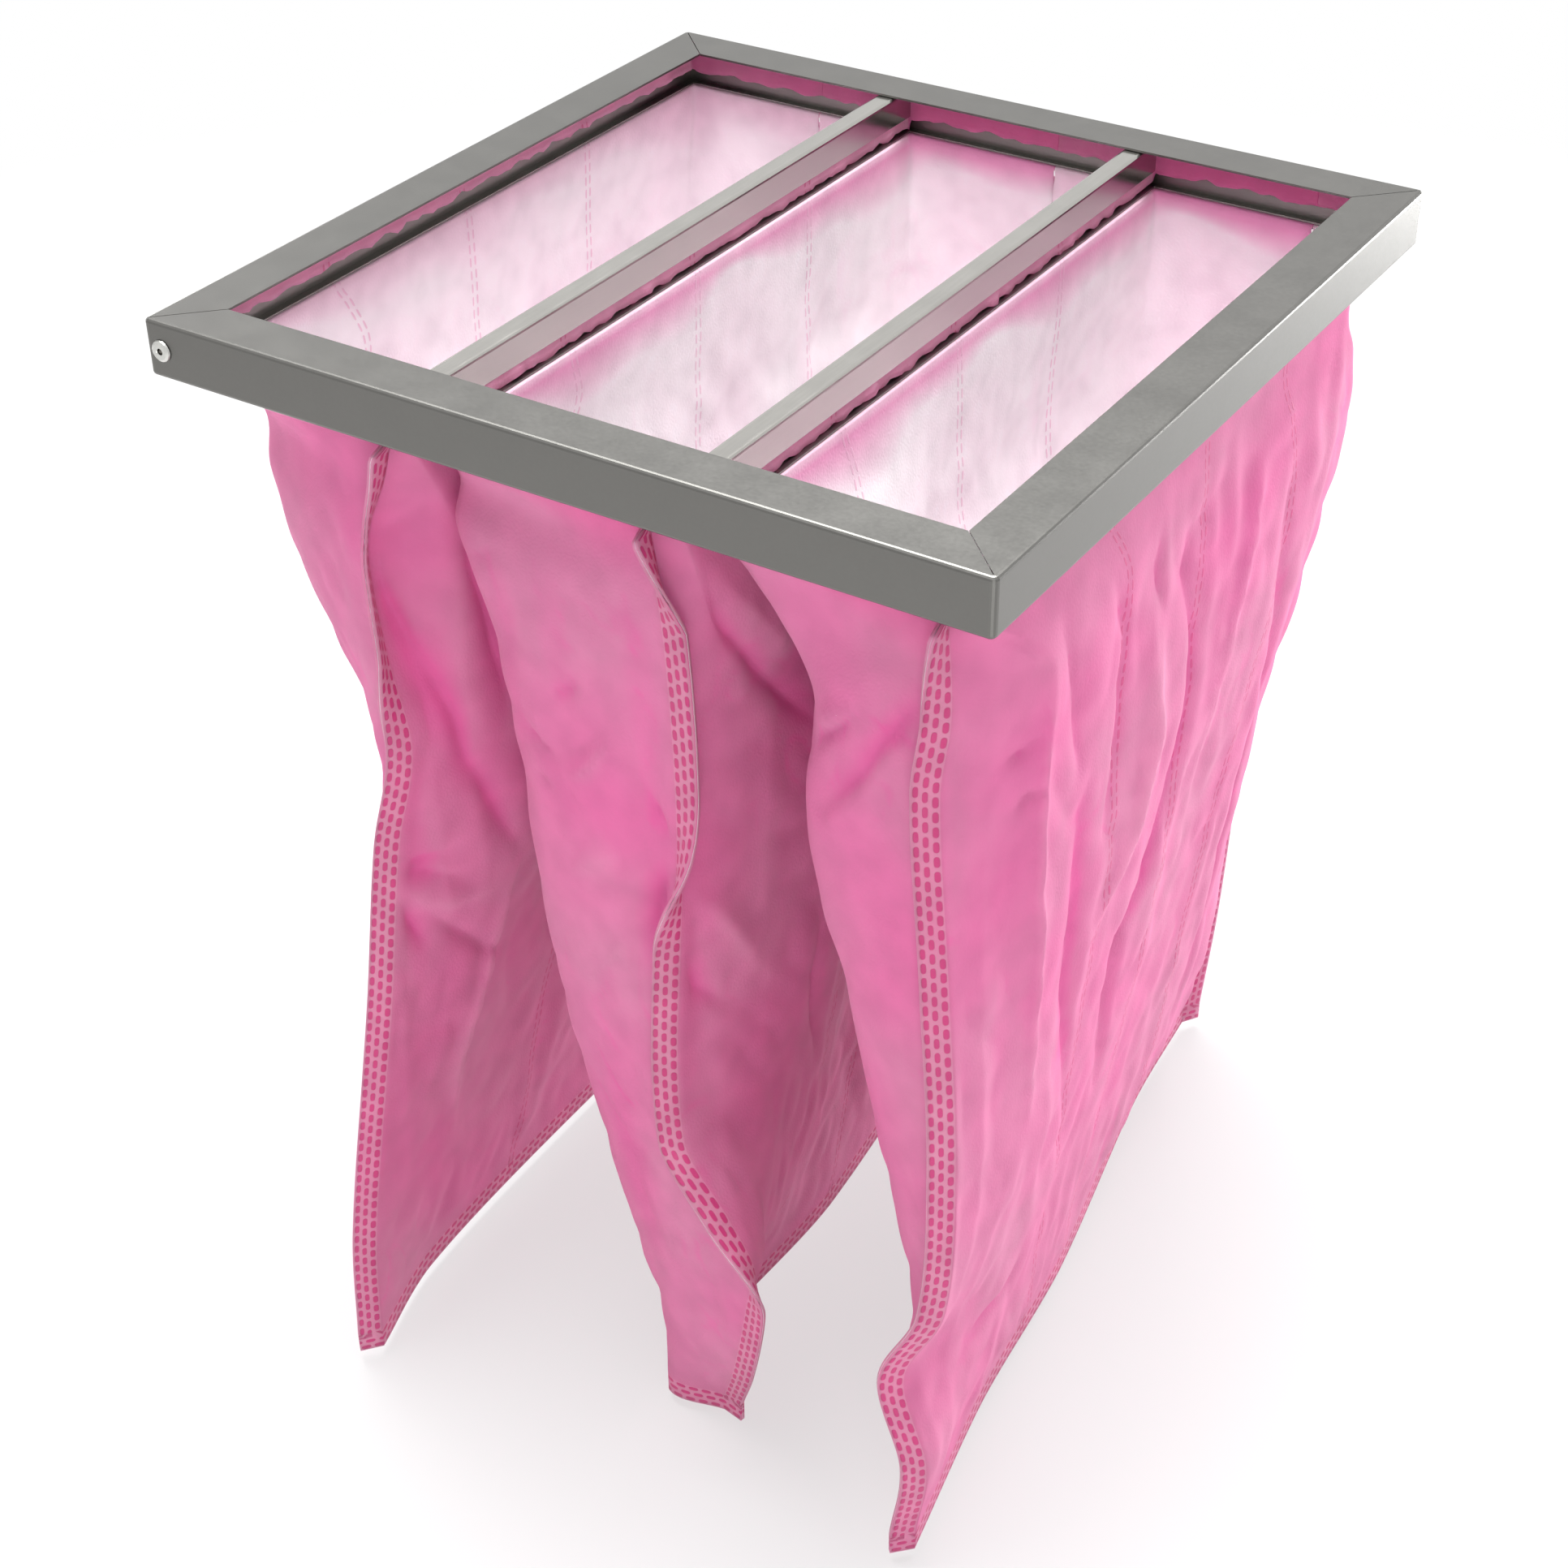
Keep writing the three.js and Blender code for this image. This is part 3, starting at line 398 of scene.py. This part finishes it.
def web_grid(pocket, side, depth_steps, narrow, half_long):
    """Grid of points of one web: rows from the hem's end down, columns from near edge to far edge."""
    shares = shares_of(narrow, half_long)
    depth = np.concatenate([UPPER_DEPTHS, np.linspace(0.03, 1, depth_steps)])
    flat = sections(pocket, side, depth, shares)
    below = np.concatenate([flat, np.broadcast_to((-depth * DROP)[:, None, None], (*flat.shape[:2], 1))], -1)
    bottom_seam = np.repeat(below[-1:], SEAM_ROWS, 0)
    bottom_seam[:, :, 2] -= (SEAM * np.arange(1, SEAM_ROWS + 1) / SEAM_ROWS)[:, None]
    top = hem_rows(pocket, side, shares)
    grid = np.concatenate([top, below, bottom_seam])
    row_depth = np.concatenate([np.zeros(len(top)), depth, np.ones(SEAM_ROWS)])
    opened = np.clip((row_depth - OPEN_START) / OPEN_SPAN, 0, 1)
    opened = (opened * opened * (3 - 2 * opened))[:, None]
    lean_in = np.clip((row_depth - LEAN_START) / LEAN_SPAN, 0, 1)
    near_lean = np.radians(along(DRAPES[pocket]["flap"], row_depth, 1)) * lean_in
    far_lean = math.radians(FAR_FLAP_LEAN) * lean_in
    near_out = np.stack([-np.sin(near_lean), -np.cos(near_lean), 0 * near_lean], -1) * SEAM
    far_out = np.stack([-np.sin(far_lean), np.cos(far_lean), 0 * far_lean], -1) * SEAM
    inline = np.array([-side * ALLOWANCE_STEP, 0, 0])
    pull = np.array([side * SEAM_PULL, 0, 0])
    roots = [grid[:, 0] + pull * (1 - opened), grid[:, -1] + pull * (1 - opened)]
    grid[:, 0], grid[:, -1] = roots
    flaps = []
    for root, out in zip(roots, (near_out, far_out)):
        reach = inline * (1 - opened) + out * opened
        flaps.append([root + reach * k / FLAP_STEPS for k in range(1, FLAP_STEPS + 1)])
    near = np.stack(flaps[0][::-1], 1)
    far = np.stack(flaps[1], 1)
    return np.concatenate([near, grid, far], 1), shares, row_depth, len(top)


def mitred_steps(grid):
    """Step off each grid point that puts the facets round it the same distance away, for a side of +1."""
    down, across = np.diff(grid, axis=0), np.diff(grid, axis=1)
    rows, columns = grid.shape[:2]
    squares = np.tile(np.eye(3) * 0.01, (rows, columns, 1, 1))
    total = np.zeros_like(grid)
    for dr in (0, 1):
        for dc in (0, 1):
            r, c = slice(dr, rows - 1 + dr), slice(dc, columns - 1 + dc)
            row_step = down[:, dc:columns - 1 + dc]
            column_step = across[dr:rows - 1 + dr]
            n = np.cross(row_step, column_step)
            n /= np.maximum(np.linalg.norm(n, axis=-1, keepdims=True), 1e-9)
            squares[r, c] += n[..., :, None] * n[..., None, :]
            total[r, c] += n
    return np.linalg.solve(squares, total[..., None])[..., 0]


def add_mesh(name, points, faces, slots=None, materials=()):
    """New piece from points in millimetres."""
    mesh = bpy.data.meshes.new(name)
    mesh.from_pydata((np.asarray(points) * MM).tolist(), [], np.asarray(faces).tolist())
    for material in materials:
        mesh.materials.append(material)
    if slots is not None:
        mesh.polygons.foreach_set("material_index", np.asarray(slots, np.int32))
    mesh.polygons.foreach_set("use_smooth", np.ones(len(mesh.polygons), bool))
    mesh.update()
    piece = bpy.data.objects.new(name, mesh)
    bpy.context.scene.collection.objects.link(piece)
    return piece


def skin_faces(rows, columns, offset, turned):
    """Four-sided faces of a grid of points that starts at offset."""
    r, c = np.meshgrid(np.arange(rows - 1), np.arange(columns - 1), indexing="ij")
    a = offset + r * columns + c
    quads = np.stack([a, a + 1, a + columns + 1, a + columns], -1).reshape(-1, 4)
    return quads[:, ::-1] if turned else quads


def rim_faces(rows, columns, offset, turned):
    """Faces round the edge of a sheet, from one skin's grid to the other's."""
    loop = list(range(columns - 1))
    loop += [r * columns + columns - 1 for r in range(rows - 1)]
    loop += [(rows - 1) * columns + c for c in range(columns - 1, 0, -1)]
    loop += [r * columns for r in range(rows - 1, 0, -1)]
    a = np.array(loop)
    b = np.roll(a, -1)
    quads = np.stack([a, a + offset, b + offset, b], -1)
    return quads[:, ::-1] if turned else quads


def give(mesh, name, values):
    """Stores one number for each point, which the material reads."""
    attribute = mesh.attributes.new(name, "FLOAT", "POINT")
    attribute.data.foreach_set("value", np.asarray(values, np.float32).ravel())


def crease_lift(pocket, side, u, v, shares_full, row_depth):
    """How far out each point of a web is pressed by its creases."""
    lift = np.zeros_like(u)
    for p, s, points, height, width in CREASES:
        if (p, s) != (pocket, side):
            continue
        line = []
        for share, depth in points:
            row = int(round(np.interp(depth, row_depth, np.arange(len(row_depth)))))
            line.append((np.interp(share, shares_full, u[row]), depth * DROP))
        nearest = np.full(u.shape, 1e9)
        taper = np.zeros(u.shape)
        lengths = [math.dist(a, b) for a, b in zip(line, line[1:])]
        whole, run = sum(lengths), 0.0
        for (a, b), length in zip(zip(line, line[1:]), lengths):
            ax, ay = b[0] - a[0], b[1] - a[1]
            t = np.clip(((u - a[0]) * ax + (v - a[1]) * ay) / max(length**2, 1e-9), 0, 1)
            away = np.hypot(u - a[0] - t * ax, v - a[1] - t * ay)
            share = np.clip((run + t * length) / whole, CREASE_TIP, 1 - CREASE_TIP)
            closer = away < nearest
            nearest = np.where(closer, away, nearest)
            taper = np.where(closer, np.sin(math.pi * share) ** 0.5, taper)
            run += length
        profile = np.exp(-np.sqrt((nearest / width * 1.3) ** 2 + 0.04) + 0.2)
        lift += CREASE_GAIN * height * profile * taper
    return lift


def filter_web(pocket, side, outer, inner):
    """One web of a pocket, as a closed sheet of medium with its hem and its seam allowances."""
    grid, shares, row_depth, hem_count = web_grid(pocket, side, DEPTH_STEPS, NARROW_STEPS, HALF_LONG_STEPS)
    rows, columns = grid.shape[:2]
    steps = np.linalg.norm(np.diff(grid, axis=1), axis=-1)
    u = np.concatenate([np.zeros((rows, 1)), np.cumsum(steps, 1)], 1)
    u -= u[:, FLAP_STEPS:FLAP_STEPS + 1]
    v = np.broadcast_to((-grid[:, :, 2]), u.shape)
    column_shares = np.concatenate([np.zeros(FLAP_STEPS), shares, np.full(FLAP_STEPS, 4.0)])

    # Folds and creases fade out towards the header, the side seams and the bottom seam.
    free = np.clip((row_depth - 0.02) / 0.1, 0, 1)[:, None]
    inside = np.clip(np.minimum(column_shares, 4 - column_shares) / 0.12, 0, 1)[None]
    above_seam = np.clip((1 - row_depth) / 0.04, 0, 1)[:, None]
    lift = crease_lift(pocket, side, u, v, column_shares, row_depth)
    fold_shading = lift * inside
    seed = pocket * 31.0 + side * 7.0
    for r in range(hem_count, rows):
        for c in range(columns):
            x, y, z = grid[r, c]
            soft = noise.noise(Vector((x / 52, y / 52, z / 70 + seed)))
            hanging = noise.noise(Vector((x / 36, y / 30, z / 240 + seed)))
            small = noise.noise(Vector((x / 20, y / 20, z / 30 + seed)))
            lift[r, c] += SOFT_FOLD * soft + HANGING_FOLD * abs(hanging)
            lift[r, c] += SMALL_FOLD * abs(small) + FOLD_LEVEL
            pinch = max(0, 1 - abs(small) / PINCH_WIDTH) * min(max(0, 3 * soft + 0.3), 1)
            # Painted shade: the hollows of the hanging folds and the sharp pinches are marked for deeper
            # pink.
            fold_shading[r, c] += TONE_LEVEL + TONE_HANGING * abs(hanging) + TONE_PINCH * pinch
    lift *= free * inside * above_seam

    # The two skins of the medium lie the same way off the middle surface, and a rim closes them.
    step = side * mitred_steps(grid)
    near = grid + step * HALF_GAP
    far = grid + step * MEDIUM_OUT
    unit = step / np.maximum(np.linalg.norm(step, axis=-1, keepdims=True), 1e-9)
    near, far = near + unit * lift[..., None], far + unit * lift[..., None]
    count = rows * columns
    turned = side < 0
    faces = np.concatenate([
        skin_faces(rows, columns, 0, not turned),
        skin_faces(rows, columns, count, turned),
        rim_faces(rows, columns, count, not turned),
    ])
    skin = (rows - 1) * (columns - 1)
    slots = np.concatenate([np.ones(skin), np.zeros(len(faces) - skin)])
    label = "left" if side < 0 else "right"
    name = f"pocket_{pocket + 1}_{label}_web"
    piece = add_mesh(name, np.concatenate([near, far]).reshape(-1, 3), faces, slots, [outer, inner])

    # What the material reads: how far out a point is on a seam allowance, how far along it, how far from the
    # line where a span strip is welded on, how sharply the medium is folded, which sets painted shade in its
    # hollows and a painted highlight on its ridges and hem, and how much painted pink light, as of light
    # shining through, lies at the top.
    seam = np.zeros_like(u)
    for k in range(FLAP_STEPS):
        distance = SEAM * (FLAP_STEPS - k) / FLAP_STEPS
        seam[:, k] = distance
        seam[:, columns - 1 - k] = distance
    seam[:hem_count] = 0
    run = v.copy()
    corner_row = rows - SEAM_ROWS - 1
    for k in range(1, SEAM_ROWS + 1):
        seam[corner_row + k] = SEAM * k / SEAM_ROWS
        run[corner_row + k] = u[corner_row + k]
    between_seams = (column_shares > 0) & (column_shares < 4)
    run[corner_row] = np.where(between_seams, u[corner_row], run[corner_row])
    weld = np.full(u.shape, OFF_WELD)
    for place in SPAN_SHARES:
        at = np.array([np.interp(place, column_shares, row) for row in u])[:, None]
        weld = np.minimum(weld, np.abs(u - at))
    # Painted pink light at the top of each web, as of light shining through the medium.
    painted_glow_depth = PAINTED_GLOW_DEPTH + 7 * np.sin(u / 31 + pocket) + 4 * np.sin(u / 13)
    painted_glow_strength = PAINTED_GLOW_STRONG if side < 0 and pocket > 0 else PAINTED_GLOW_FAINT
    painted_glow = np.clip(1.1 - v / painted_glow_depth, 0, 1) * painted_glow_strength
    fold_shading = fold_shading * free * above_seam
    # The hem's top fold is painted pale for the light that comes through it, except on the far narrow side.
    fold_shading[:hem_count, column_shares < 3] = HEM_PAINTED_PALE
    given = {"seam_mm": seam, "run_mm": run, "weld_mm": weld, "painted_fold_shade": fold_shading, "painted_glow": painted_glow}
    for key, values in given.items():
        give(piece.data, key, np.concatenate([values.ravel(), values.ravel()]))
    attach(piece, "root")
    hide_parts(f"pocket_{pocket + 1}_{label}_panel")


def span_strips(pocket, material):
    """Narrow strips of fabric that join the two webs inside a pocket, each slack and slightly bowed."""
    grids = []
    for side in (-1, 1):
        depth = np.linspace(SPAN_TOP, SPAN_BOTTOM, SPAN_ROWS)
        flat = sections(pocket, side, depth, np.array(SPAN_SHARES))
        grids.append((depth, flat))
    for line in range(3):
        rows = []
        for r, depth in enumerate(grids[0][0]):
            a, b = (np.array([*flat[r, line], -depth * DROP]) for _, flat in grids)
            across = b - a
            short = SPAN_STAND_OFF / max(np.linalg.norm(across), 1e-6)
            bow = math.sin(depth * SPAN_BOW_TURNS + line) * SPAN_BOW
            shares = [k / SPAN_COLUMNS for k in range(SPAN_COLUMNS + 1)]
            rows.append([a + across * (short + (1 - 2 * short) * share)
                         + np.array([0, bow * math.sin(math.pi * share), 0]) for share in shares])
        grid = np.array(rows)
        step = mitred_steps(grid) * SPAN_THICK / 2
        count = grid.shape[0] * grid.shape[1]
        faces = np.concatenate([
            skin_faces(*grid.shape[:2], 0, True),
            skin_faces(*grid.shape[:2], count, False),
            rim_faces(*grid.shape[:2], count, True),
        ])
        points = np.concatenate([grid - step, grid + step]).reshape(-1, 3)
        piece = add_mesh(f"pocket_{pocket + 1}_span_web_{line + 1}", points, faces, None, [material])
        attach(piece, "root")
        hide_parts(f"pocket_{pocket + 1}_span_strip_{line + 1}")


def linear(code):
    """Linear colour from an sRGB hex value."""
    values = [int(code[i:i + 2], 16) / 255 for i in (1, 3, 5)]
    return tuple(v / 12.92 if v <= 0.04045 else ((v + 0.055) / 1.055) ** 2.4 for v in values) + (1.0,)


def new_material(name):
    """Material with an empty node tree, and the tree."""
    material = bpy.data.materials.new(name)
    material.use_nodes = True
    tree = material.node_tree
    tree.nodes.clear()
    return material, tree


# A Mix node has these inputs for other kinds of value between its factor and its two colours.
BEFORE_COLOURS = [None] * 5


def node(tree, kind, *values, **named):
    """Adds a node. Values go to its inputs in order, capital names are inputs, small ones are properties."""
    made = tree.nodes.new("ShaderNode" + kind)
    for name, value in named.items():
        if name[0].islower():
            setattr(made, name, value)
    given = list(enumerate(values))
    given += [(name.replace("_", " "), value) for name, value in named.items() if name[0].isupper()]
    for key, value in given:
        socket = made.inputs[key]
        if isinstance(value, bpy.types.Node):
            value = value.outputs[0]
        if isinstance(value, bpy.types.NodeSocket):
            tree.links.new(value, socket)
        elif value is not None:
            socket.default_value = value
    return made


def nonwoven(name, front, deep, through, pressed_colour, share_through):
    """Needled polyester: soft, matt, with short fibres that catch the light and cloudy lumps of weight."""
    material, tree = new_material(name)
    place = node(tree, "TexCoord").outputs["Object"]
    clouds = node(tree, "TexNoise", Vector=place, Scale=70.0, Detail=1.0)
    fibres = node(tree, "TexNoise", Vector=place, Scale=900.0, Detail=0.0)
    seam = node(tree, "Attribute", attribute_name="seam_mm").outputs["Fac"]
    run = node(tree, "Attribute", attribute_name="run_mm").outputs["Fac"]
    weld = node(tree, "Attribute", attribute_name="weld_mm").outputs["Fac"]

    # Rows of pressed ovals along the seam allowance, each row shifted along from the one beside it.
    row = node(tree, "Math", seam, DASH_ROW, operation="DIVIDE")
    row_part = node(tree, "Math", row, operation="FRACT")
    middle = node(tree, "Math", row_part, 0.5, operation="SUBTRACT")
    y = node(tree, "Math", middle, DASH_ROW / DASH_HALF_WIDTH, operation="MULTIPLY")
    row_number = node(tree, "Math", row, operation="FLOOR")
    shift = node(tree, "Math", row_number, DASH_SHIFT, operation="MULTIPLY")
    pitches = node(tree, "Math", run, DASH_PITCH, operation="DIVIDE")
    along_row = node(tree, "Math", pitches, shift, operation="ADD")
    pitch_part = node(tree, "Math", along_row, operation="FRACT")
    turn = node(tree, "Math", pitch_part, 0.5, operation="SUBTRACT")
    x = node(tree, "Math", turn, DASH_PITCH / DASH_HALF_LENGTH, operation="MULTIPLY")
    x4 = node(tree, "Math", x, 4.0, operation="POWER")
    y2 = node(tree, "Math", y, y, operation="MULTIPLY")
    oval = node(tree, "Math", x4, y2, operation="ADD")
    dash = node(tree, "MapRange", oval, 0.7, 1.4, 1.0, 0.0)
    on_seam = node(tree, "Math", seam, 0.25, operation="GREATER_THAN")
    seam_dash = node(tree, "Math", dash, on_seam, operation="MULTIPLY")

    # Pairs of dashed lines where the span strips are welded on.
    off_line = node(tree, "Math", weld, WELD_LINE_OUT, operation="SUBTRACT")
    beside = node(tree, "Math", off_line, WELD_LINE_HALF, operation="DIVIDE")
    beside2 = node(tree, "Math", beside, beside, operation="MULTIPLY")
    weld_oval = node(tree, "Math", x4, beside2, operation="ADD")
    weld_dash = node(tree, "MapRange", weld_oval, 0.6, 1.4, 0.6, 0.0)
    pressed = node(tree, "Math", seam_dash, weld_dash, operation="MAXIMUM")

    # Weight and dye vary across the web. Folds get painted shade, deeper pink, in their hollows and a
    # painted highlight, pale, on their ridges and the hem's top fold.
    cloudy = node(tree, "MapRange", clouds, 0.3, 0.7, 0.93, 1.05)
    blotches = node(tree, "TexNoise", Vector=place, Scale=11.0, Detail=1.0)
    dyed = node(tree, "MapRange", blotches, 0.35, 0.72, 0.0, 0.55)
    painted_glow = node(tree, "Attribute", attribute_name="painted_glow").outputs["Fac"]
    fold_shading = node(tree, "Attribute", attribute_name="painted_fold_shade").outputs["Fac"]
    # Painted shade in fold hollows and painted highlight on fold ridges and the hem, from how sharply the
    # medium is folded.
    hollow = node(tree, "MapRange", fold_shading, -5.0, -0.3, 0.75, 0.0)
    painted_highlight = node(tree, "MapRange", fold_shading, 0.8, HEM_PAINTED_PALE, 0.0, 0.8)
    hollow = node(tree, "Math", hollow, dyed, operation="MAXIMUM")
    colours = linear(front), linear(deep)
    folded = node(tree, "Mix", hollow, *BEFORE_COLOURS, *colours, data_type="RGBA").outputs[2]
    # The seam allowances are paler, and this joins the painted highlight of ridges and hem.
    pale_seam = node(tree, "Math", on_seam, 0.45, operation="MULTIPLY")
    painted_highlight_and_pale_seam = node(tree, "Math", painted_highlight, pale_seam, operation="MAXIMUM")
    # Painted pink light at the top of the insides.
    colours = folded, linear("#F08CC2")
    with_painted_glow = node(tree, "Mix", painted_glow, *BEFORE_COLOURS, *colours, data_type="RGBA").outputs[2]
    colours = with_painted_glow, linear("#F6D3E3")
    paler = node(tree, "Mix", painted_highlight_and_pale_seam, *BEFORE_COLOURS, *colours, data_type="RGBA").outputs[2]
    colours = paler, linear(pressed_colour)
    base = node(tree, "Mix", pressed, *BEFORE_COLOURS, *colours, data_type="RGBA").outputs[2]
    toned = node(tree, "HueSaturation", Value=cloudy, Color=base)

    # Short fibres stand up from the web, and the pressed ovals lie below it with a smoother, fused face.
    fuzz = node(tree, "Math", fibres, 0.35, operation="MULTIPLY")
    height = node(tree, "Math", fuzz, pressed, operation="SUBTRACT")
    bump = node(tree, "Bump", Strength=0.5, Distance=0.0008, Height=height)
    rough = node(tree, "MapRange", pressed, 0.0, 1.0, 0.85, 0.35)
    surface = node(tree, "BsdfPrincipled", Base_Color=toned, Roughness=rough, Normal=bump,
                   Sheen_Weight=0.2, Sheen_Roughness=0.6)

    # Light comes through the thin medium from its other side.
    colours = linear(through), linear(pressed_colour)
    lit = node(tree, "Mix", pressed, *BEFORE_COLOURS, *colours, data_type="RGBA").outputs[2]
    behind = node(tree, "BsdfTranslucent", Color=lit, Normal=bump)
    mixed = node(tree, "MixShader", share_through, surface, behind)
    node(tree, "OutputMaterial", Surface=mixed)
    return material


def sheet_steel(name, colour, rough_low, rough_high, grain, along_axis, bump_strength):
    """Bare or zinc coated sheet: a satin metal whose rolling leaves faint lines along the strip."""
    material, tree = new_material(name)
    place = node(tree, "TexCoord").outputs["Object"]
    scale = [grain, grain, grain]
    if along_axis is not None:
        scale[along_axis] = grain * 0.04
    streaked = node(tree, "Mapping", Vector=place, Scale=scale)
    lines = node(tree, "TexNoise", Vector=streaked, Scale=1.0, Detail=4.0)
    clouds = node(tree, "TexNoise", Vector=place, Scale=55.0, Detail=3.0)
    added = node(tree, "Math", lines, clouds, operation="ADD")
    both = node(tree, "Math", added, 0.5, operation="MULTIPLY")
    rough = node(tree, "MapRange", both, 0.3, 0.7, rough_low, rough_high)
    shade = node(tree, "MapRange", both, 0.3, 0.7, 0.96, 1.03)
    tone = node(tree, "HueSaturation", Value=shade, Color=linear(colour))
    bump = node(tree, "Bump", Strength=bump_strength, Distance=0.0001, Height=lines)
    surface = node(tree, "BsdfPrincipled", Base_Color=tone, Metallic=1.0, Roughness=rough, Normal=bump)
    node(tree, "OutputMaterial", Surface=surface)
    return material


pink_outer = nonwoven("needled_polyester_pink", "#CAA2B1", "#E668AC", "#FF94D4", "#E4569C", 0.5)
pale_inner = nonwoven("needled_polyester_pale", "#FDFDFD", "#FBE6F1", "#FFFFFF", "#F0BBD5", 0.08)
span_fabric = nonwoven("spunbond_pale", "#FFFBFD", "#FBE4F0", "#FFF2F9", "#F5CFE1", 0.4)
galvanised = sheet_steel("galvanised_sheet_satin", "#71706D", 0.33, 0.41, 700.0, None, 0.1)
divider_steel = sheet_steel("cold_rolled_sheet_bright", "#B5B3AE", 0.14, 0.24, 1400.0, 1, 0.06)
frame_steel = sheet_steel("cold_rolled_strip", "#7E7C78", 0.28, 0.42, 1200.0, 1, 0.12)
rivet_aluminium = sheet_steel("aluminium_cold_headed", "#C9C9C5", 0.25, 0.4, 1500.0, 2, 0.1)
stem_steel = sheet_steel("mandrel_steel_snapped", "#6A6762", 0.4, 0.6, 2500.0, 1, 0.3)

finishes = {
    "header_frame": galvanised, "corner_rivet": rivet_aluminium, "rivet_mandrel": stem_steel,
    "divider_bar_1": divider_steel, "divider_bar_2": divider_steel,
    "pocket_frame_1": frame_steel, "pocket_frame_2": frame_steel, "pocket_frame_3": frame_steel,
}
for name, material in finishes.items():
    nodes[name].material_slots[0].material = material

for pocket in range(3):
    for side in (-1, 1):
        filter_web(pocket, side, pink_outer, pale_inner)
    span_strips(pocket, span_fabric)


# Camera: long lens, in front of the riveted corner and above.
camera_data = bpy.data.cameras.new("camera")
camera_data.lens = 61.044
camera_data.sensor_width = 36
camera = bpy.data.objects.new("camera", camera_data)
bpy.context.scene.collection.objects.link(camera)
right = Vector((0.84446584, 0.5355548, -0.00764859))
up = Vector((-0.30365025, 0.49046335, 0.81684897))
back = Vector((0.44121874, -0.68747855, 0.57680089))
turn = Matrix((right, up, back)).transposed().to_4x4()
camera.matrix_world = Matrix.Translation(Vector((0.550550, -0.882741, 0.485899))) @ turn
camera_data.clip_end = 50
bpy.context.scene.camera = camera


def soft_lamp(name, place, target, size, power):
    """White lamp with a wide rectangular face, turned to a target."""
    data = bpy.data.lights.new(name, "AREA")
    data.shape = "RECTANGLE"
    data.size, data.size_y = size
    data.energy = power
    lamp = bpy.data.objects.new(name, data)
    bpy.context.scene.collection.objects.link(lamp)
    lamp.location = place
    lamp.rotation_euler = (Vector(target) - Vector(place)).to_track_quat("-Z", "Y").to_euler()


soft_lamp("lamp_overhead", (-0.15, 0.15, 1.8), (0, 0, 0), (1.5, 1.5), 105)
soft_lamp("lamp_behind", (0.55, 1.8, -0.25), (0, 0, -0.3), (1.0, 0.5), 36)
soft_lamp("lamp_left_behind", (-1.8, 0.7, 0.0), (0, 0, -0.25), (1.0, 0.9), 12)
soft_lamp("lamp_low_front", (0.85, -1.3, -0.3), (0, 0, -0.42), (0.4, 0.25), 3.2)

world = bpy.data.worlds.new("studio")
bpy.context.scene.world = world
world.use_nodes = True
tree = world.node_tree
tree.nodes.clear()
path = node(tree, "LightPath")
rays = path.outputs["Is Glossy Ray"], path.outputs["Is Transmission Ray"]
clear = node(tree, "Math", *rays, operation="MAXIMUM")
seen = node(tree, "Math", path.outputs["Is Camera Ray"], clear, operation="MAXIMUM")
room = node(tree, "Background", (1, 1, 1, 1), 0.5)
white = node(tree, "Background", (1, 1, 1, 1), 1.0)
node(tree, "OutputWorld", Surface=node(tree, "MixShader", seen, room, white))

# Pale floor just under the lowest pocket, with the object's shadow on it. It fades into the white
# background away from the object, so that no edge shows in a low view.
FLOOR_Z = -0.505
FLOOR_GLOW = 0.3
FLOOR_SEEN_WHITE = 0.62
FADE_START = 0.7
FADE_END = 1.6
bpy.ops.mesh.primitive_plane_add(size=14, location=(0, 0, FLOOR_Z))
floor = bpy.context.object
floor.name = "floor"
material, tree = new_material("matt_white_floor")
path = node(tree, "LightPath")
paint = node(tree, "BsdfDiffuse", linear("#DCDCDC"))
lift = node(tree, "Emission", (1, 1, 1, 1), 1.0)
reach = node(tree, "VectorMath", node(tree, "TexCoord").outputs["Object"], operation="LENGTH")
faded = node(tree, "MapRange", reach.outputs["Value"], FADE_START, FADE_END, FLOOR_SEEN_WHITE, 1.0)
seen = node(tree, "MapRange", path.outputs["Is Camera Ray"], 0.0, 1.0, FLOOR_GLOW, faded)
node(tree, "OutputMaterial", Surface=node(tree, "MixShader", seen, paint, lift))
floor.data.materials.append(material)

bpy.context.scene.view_settings.view_transform = "Standard"
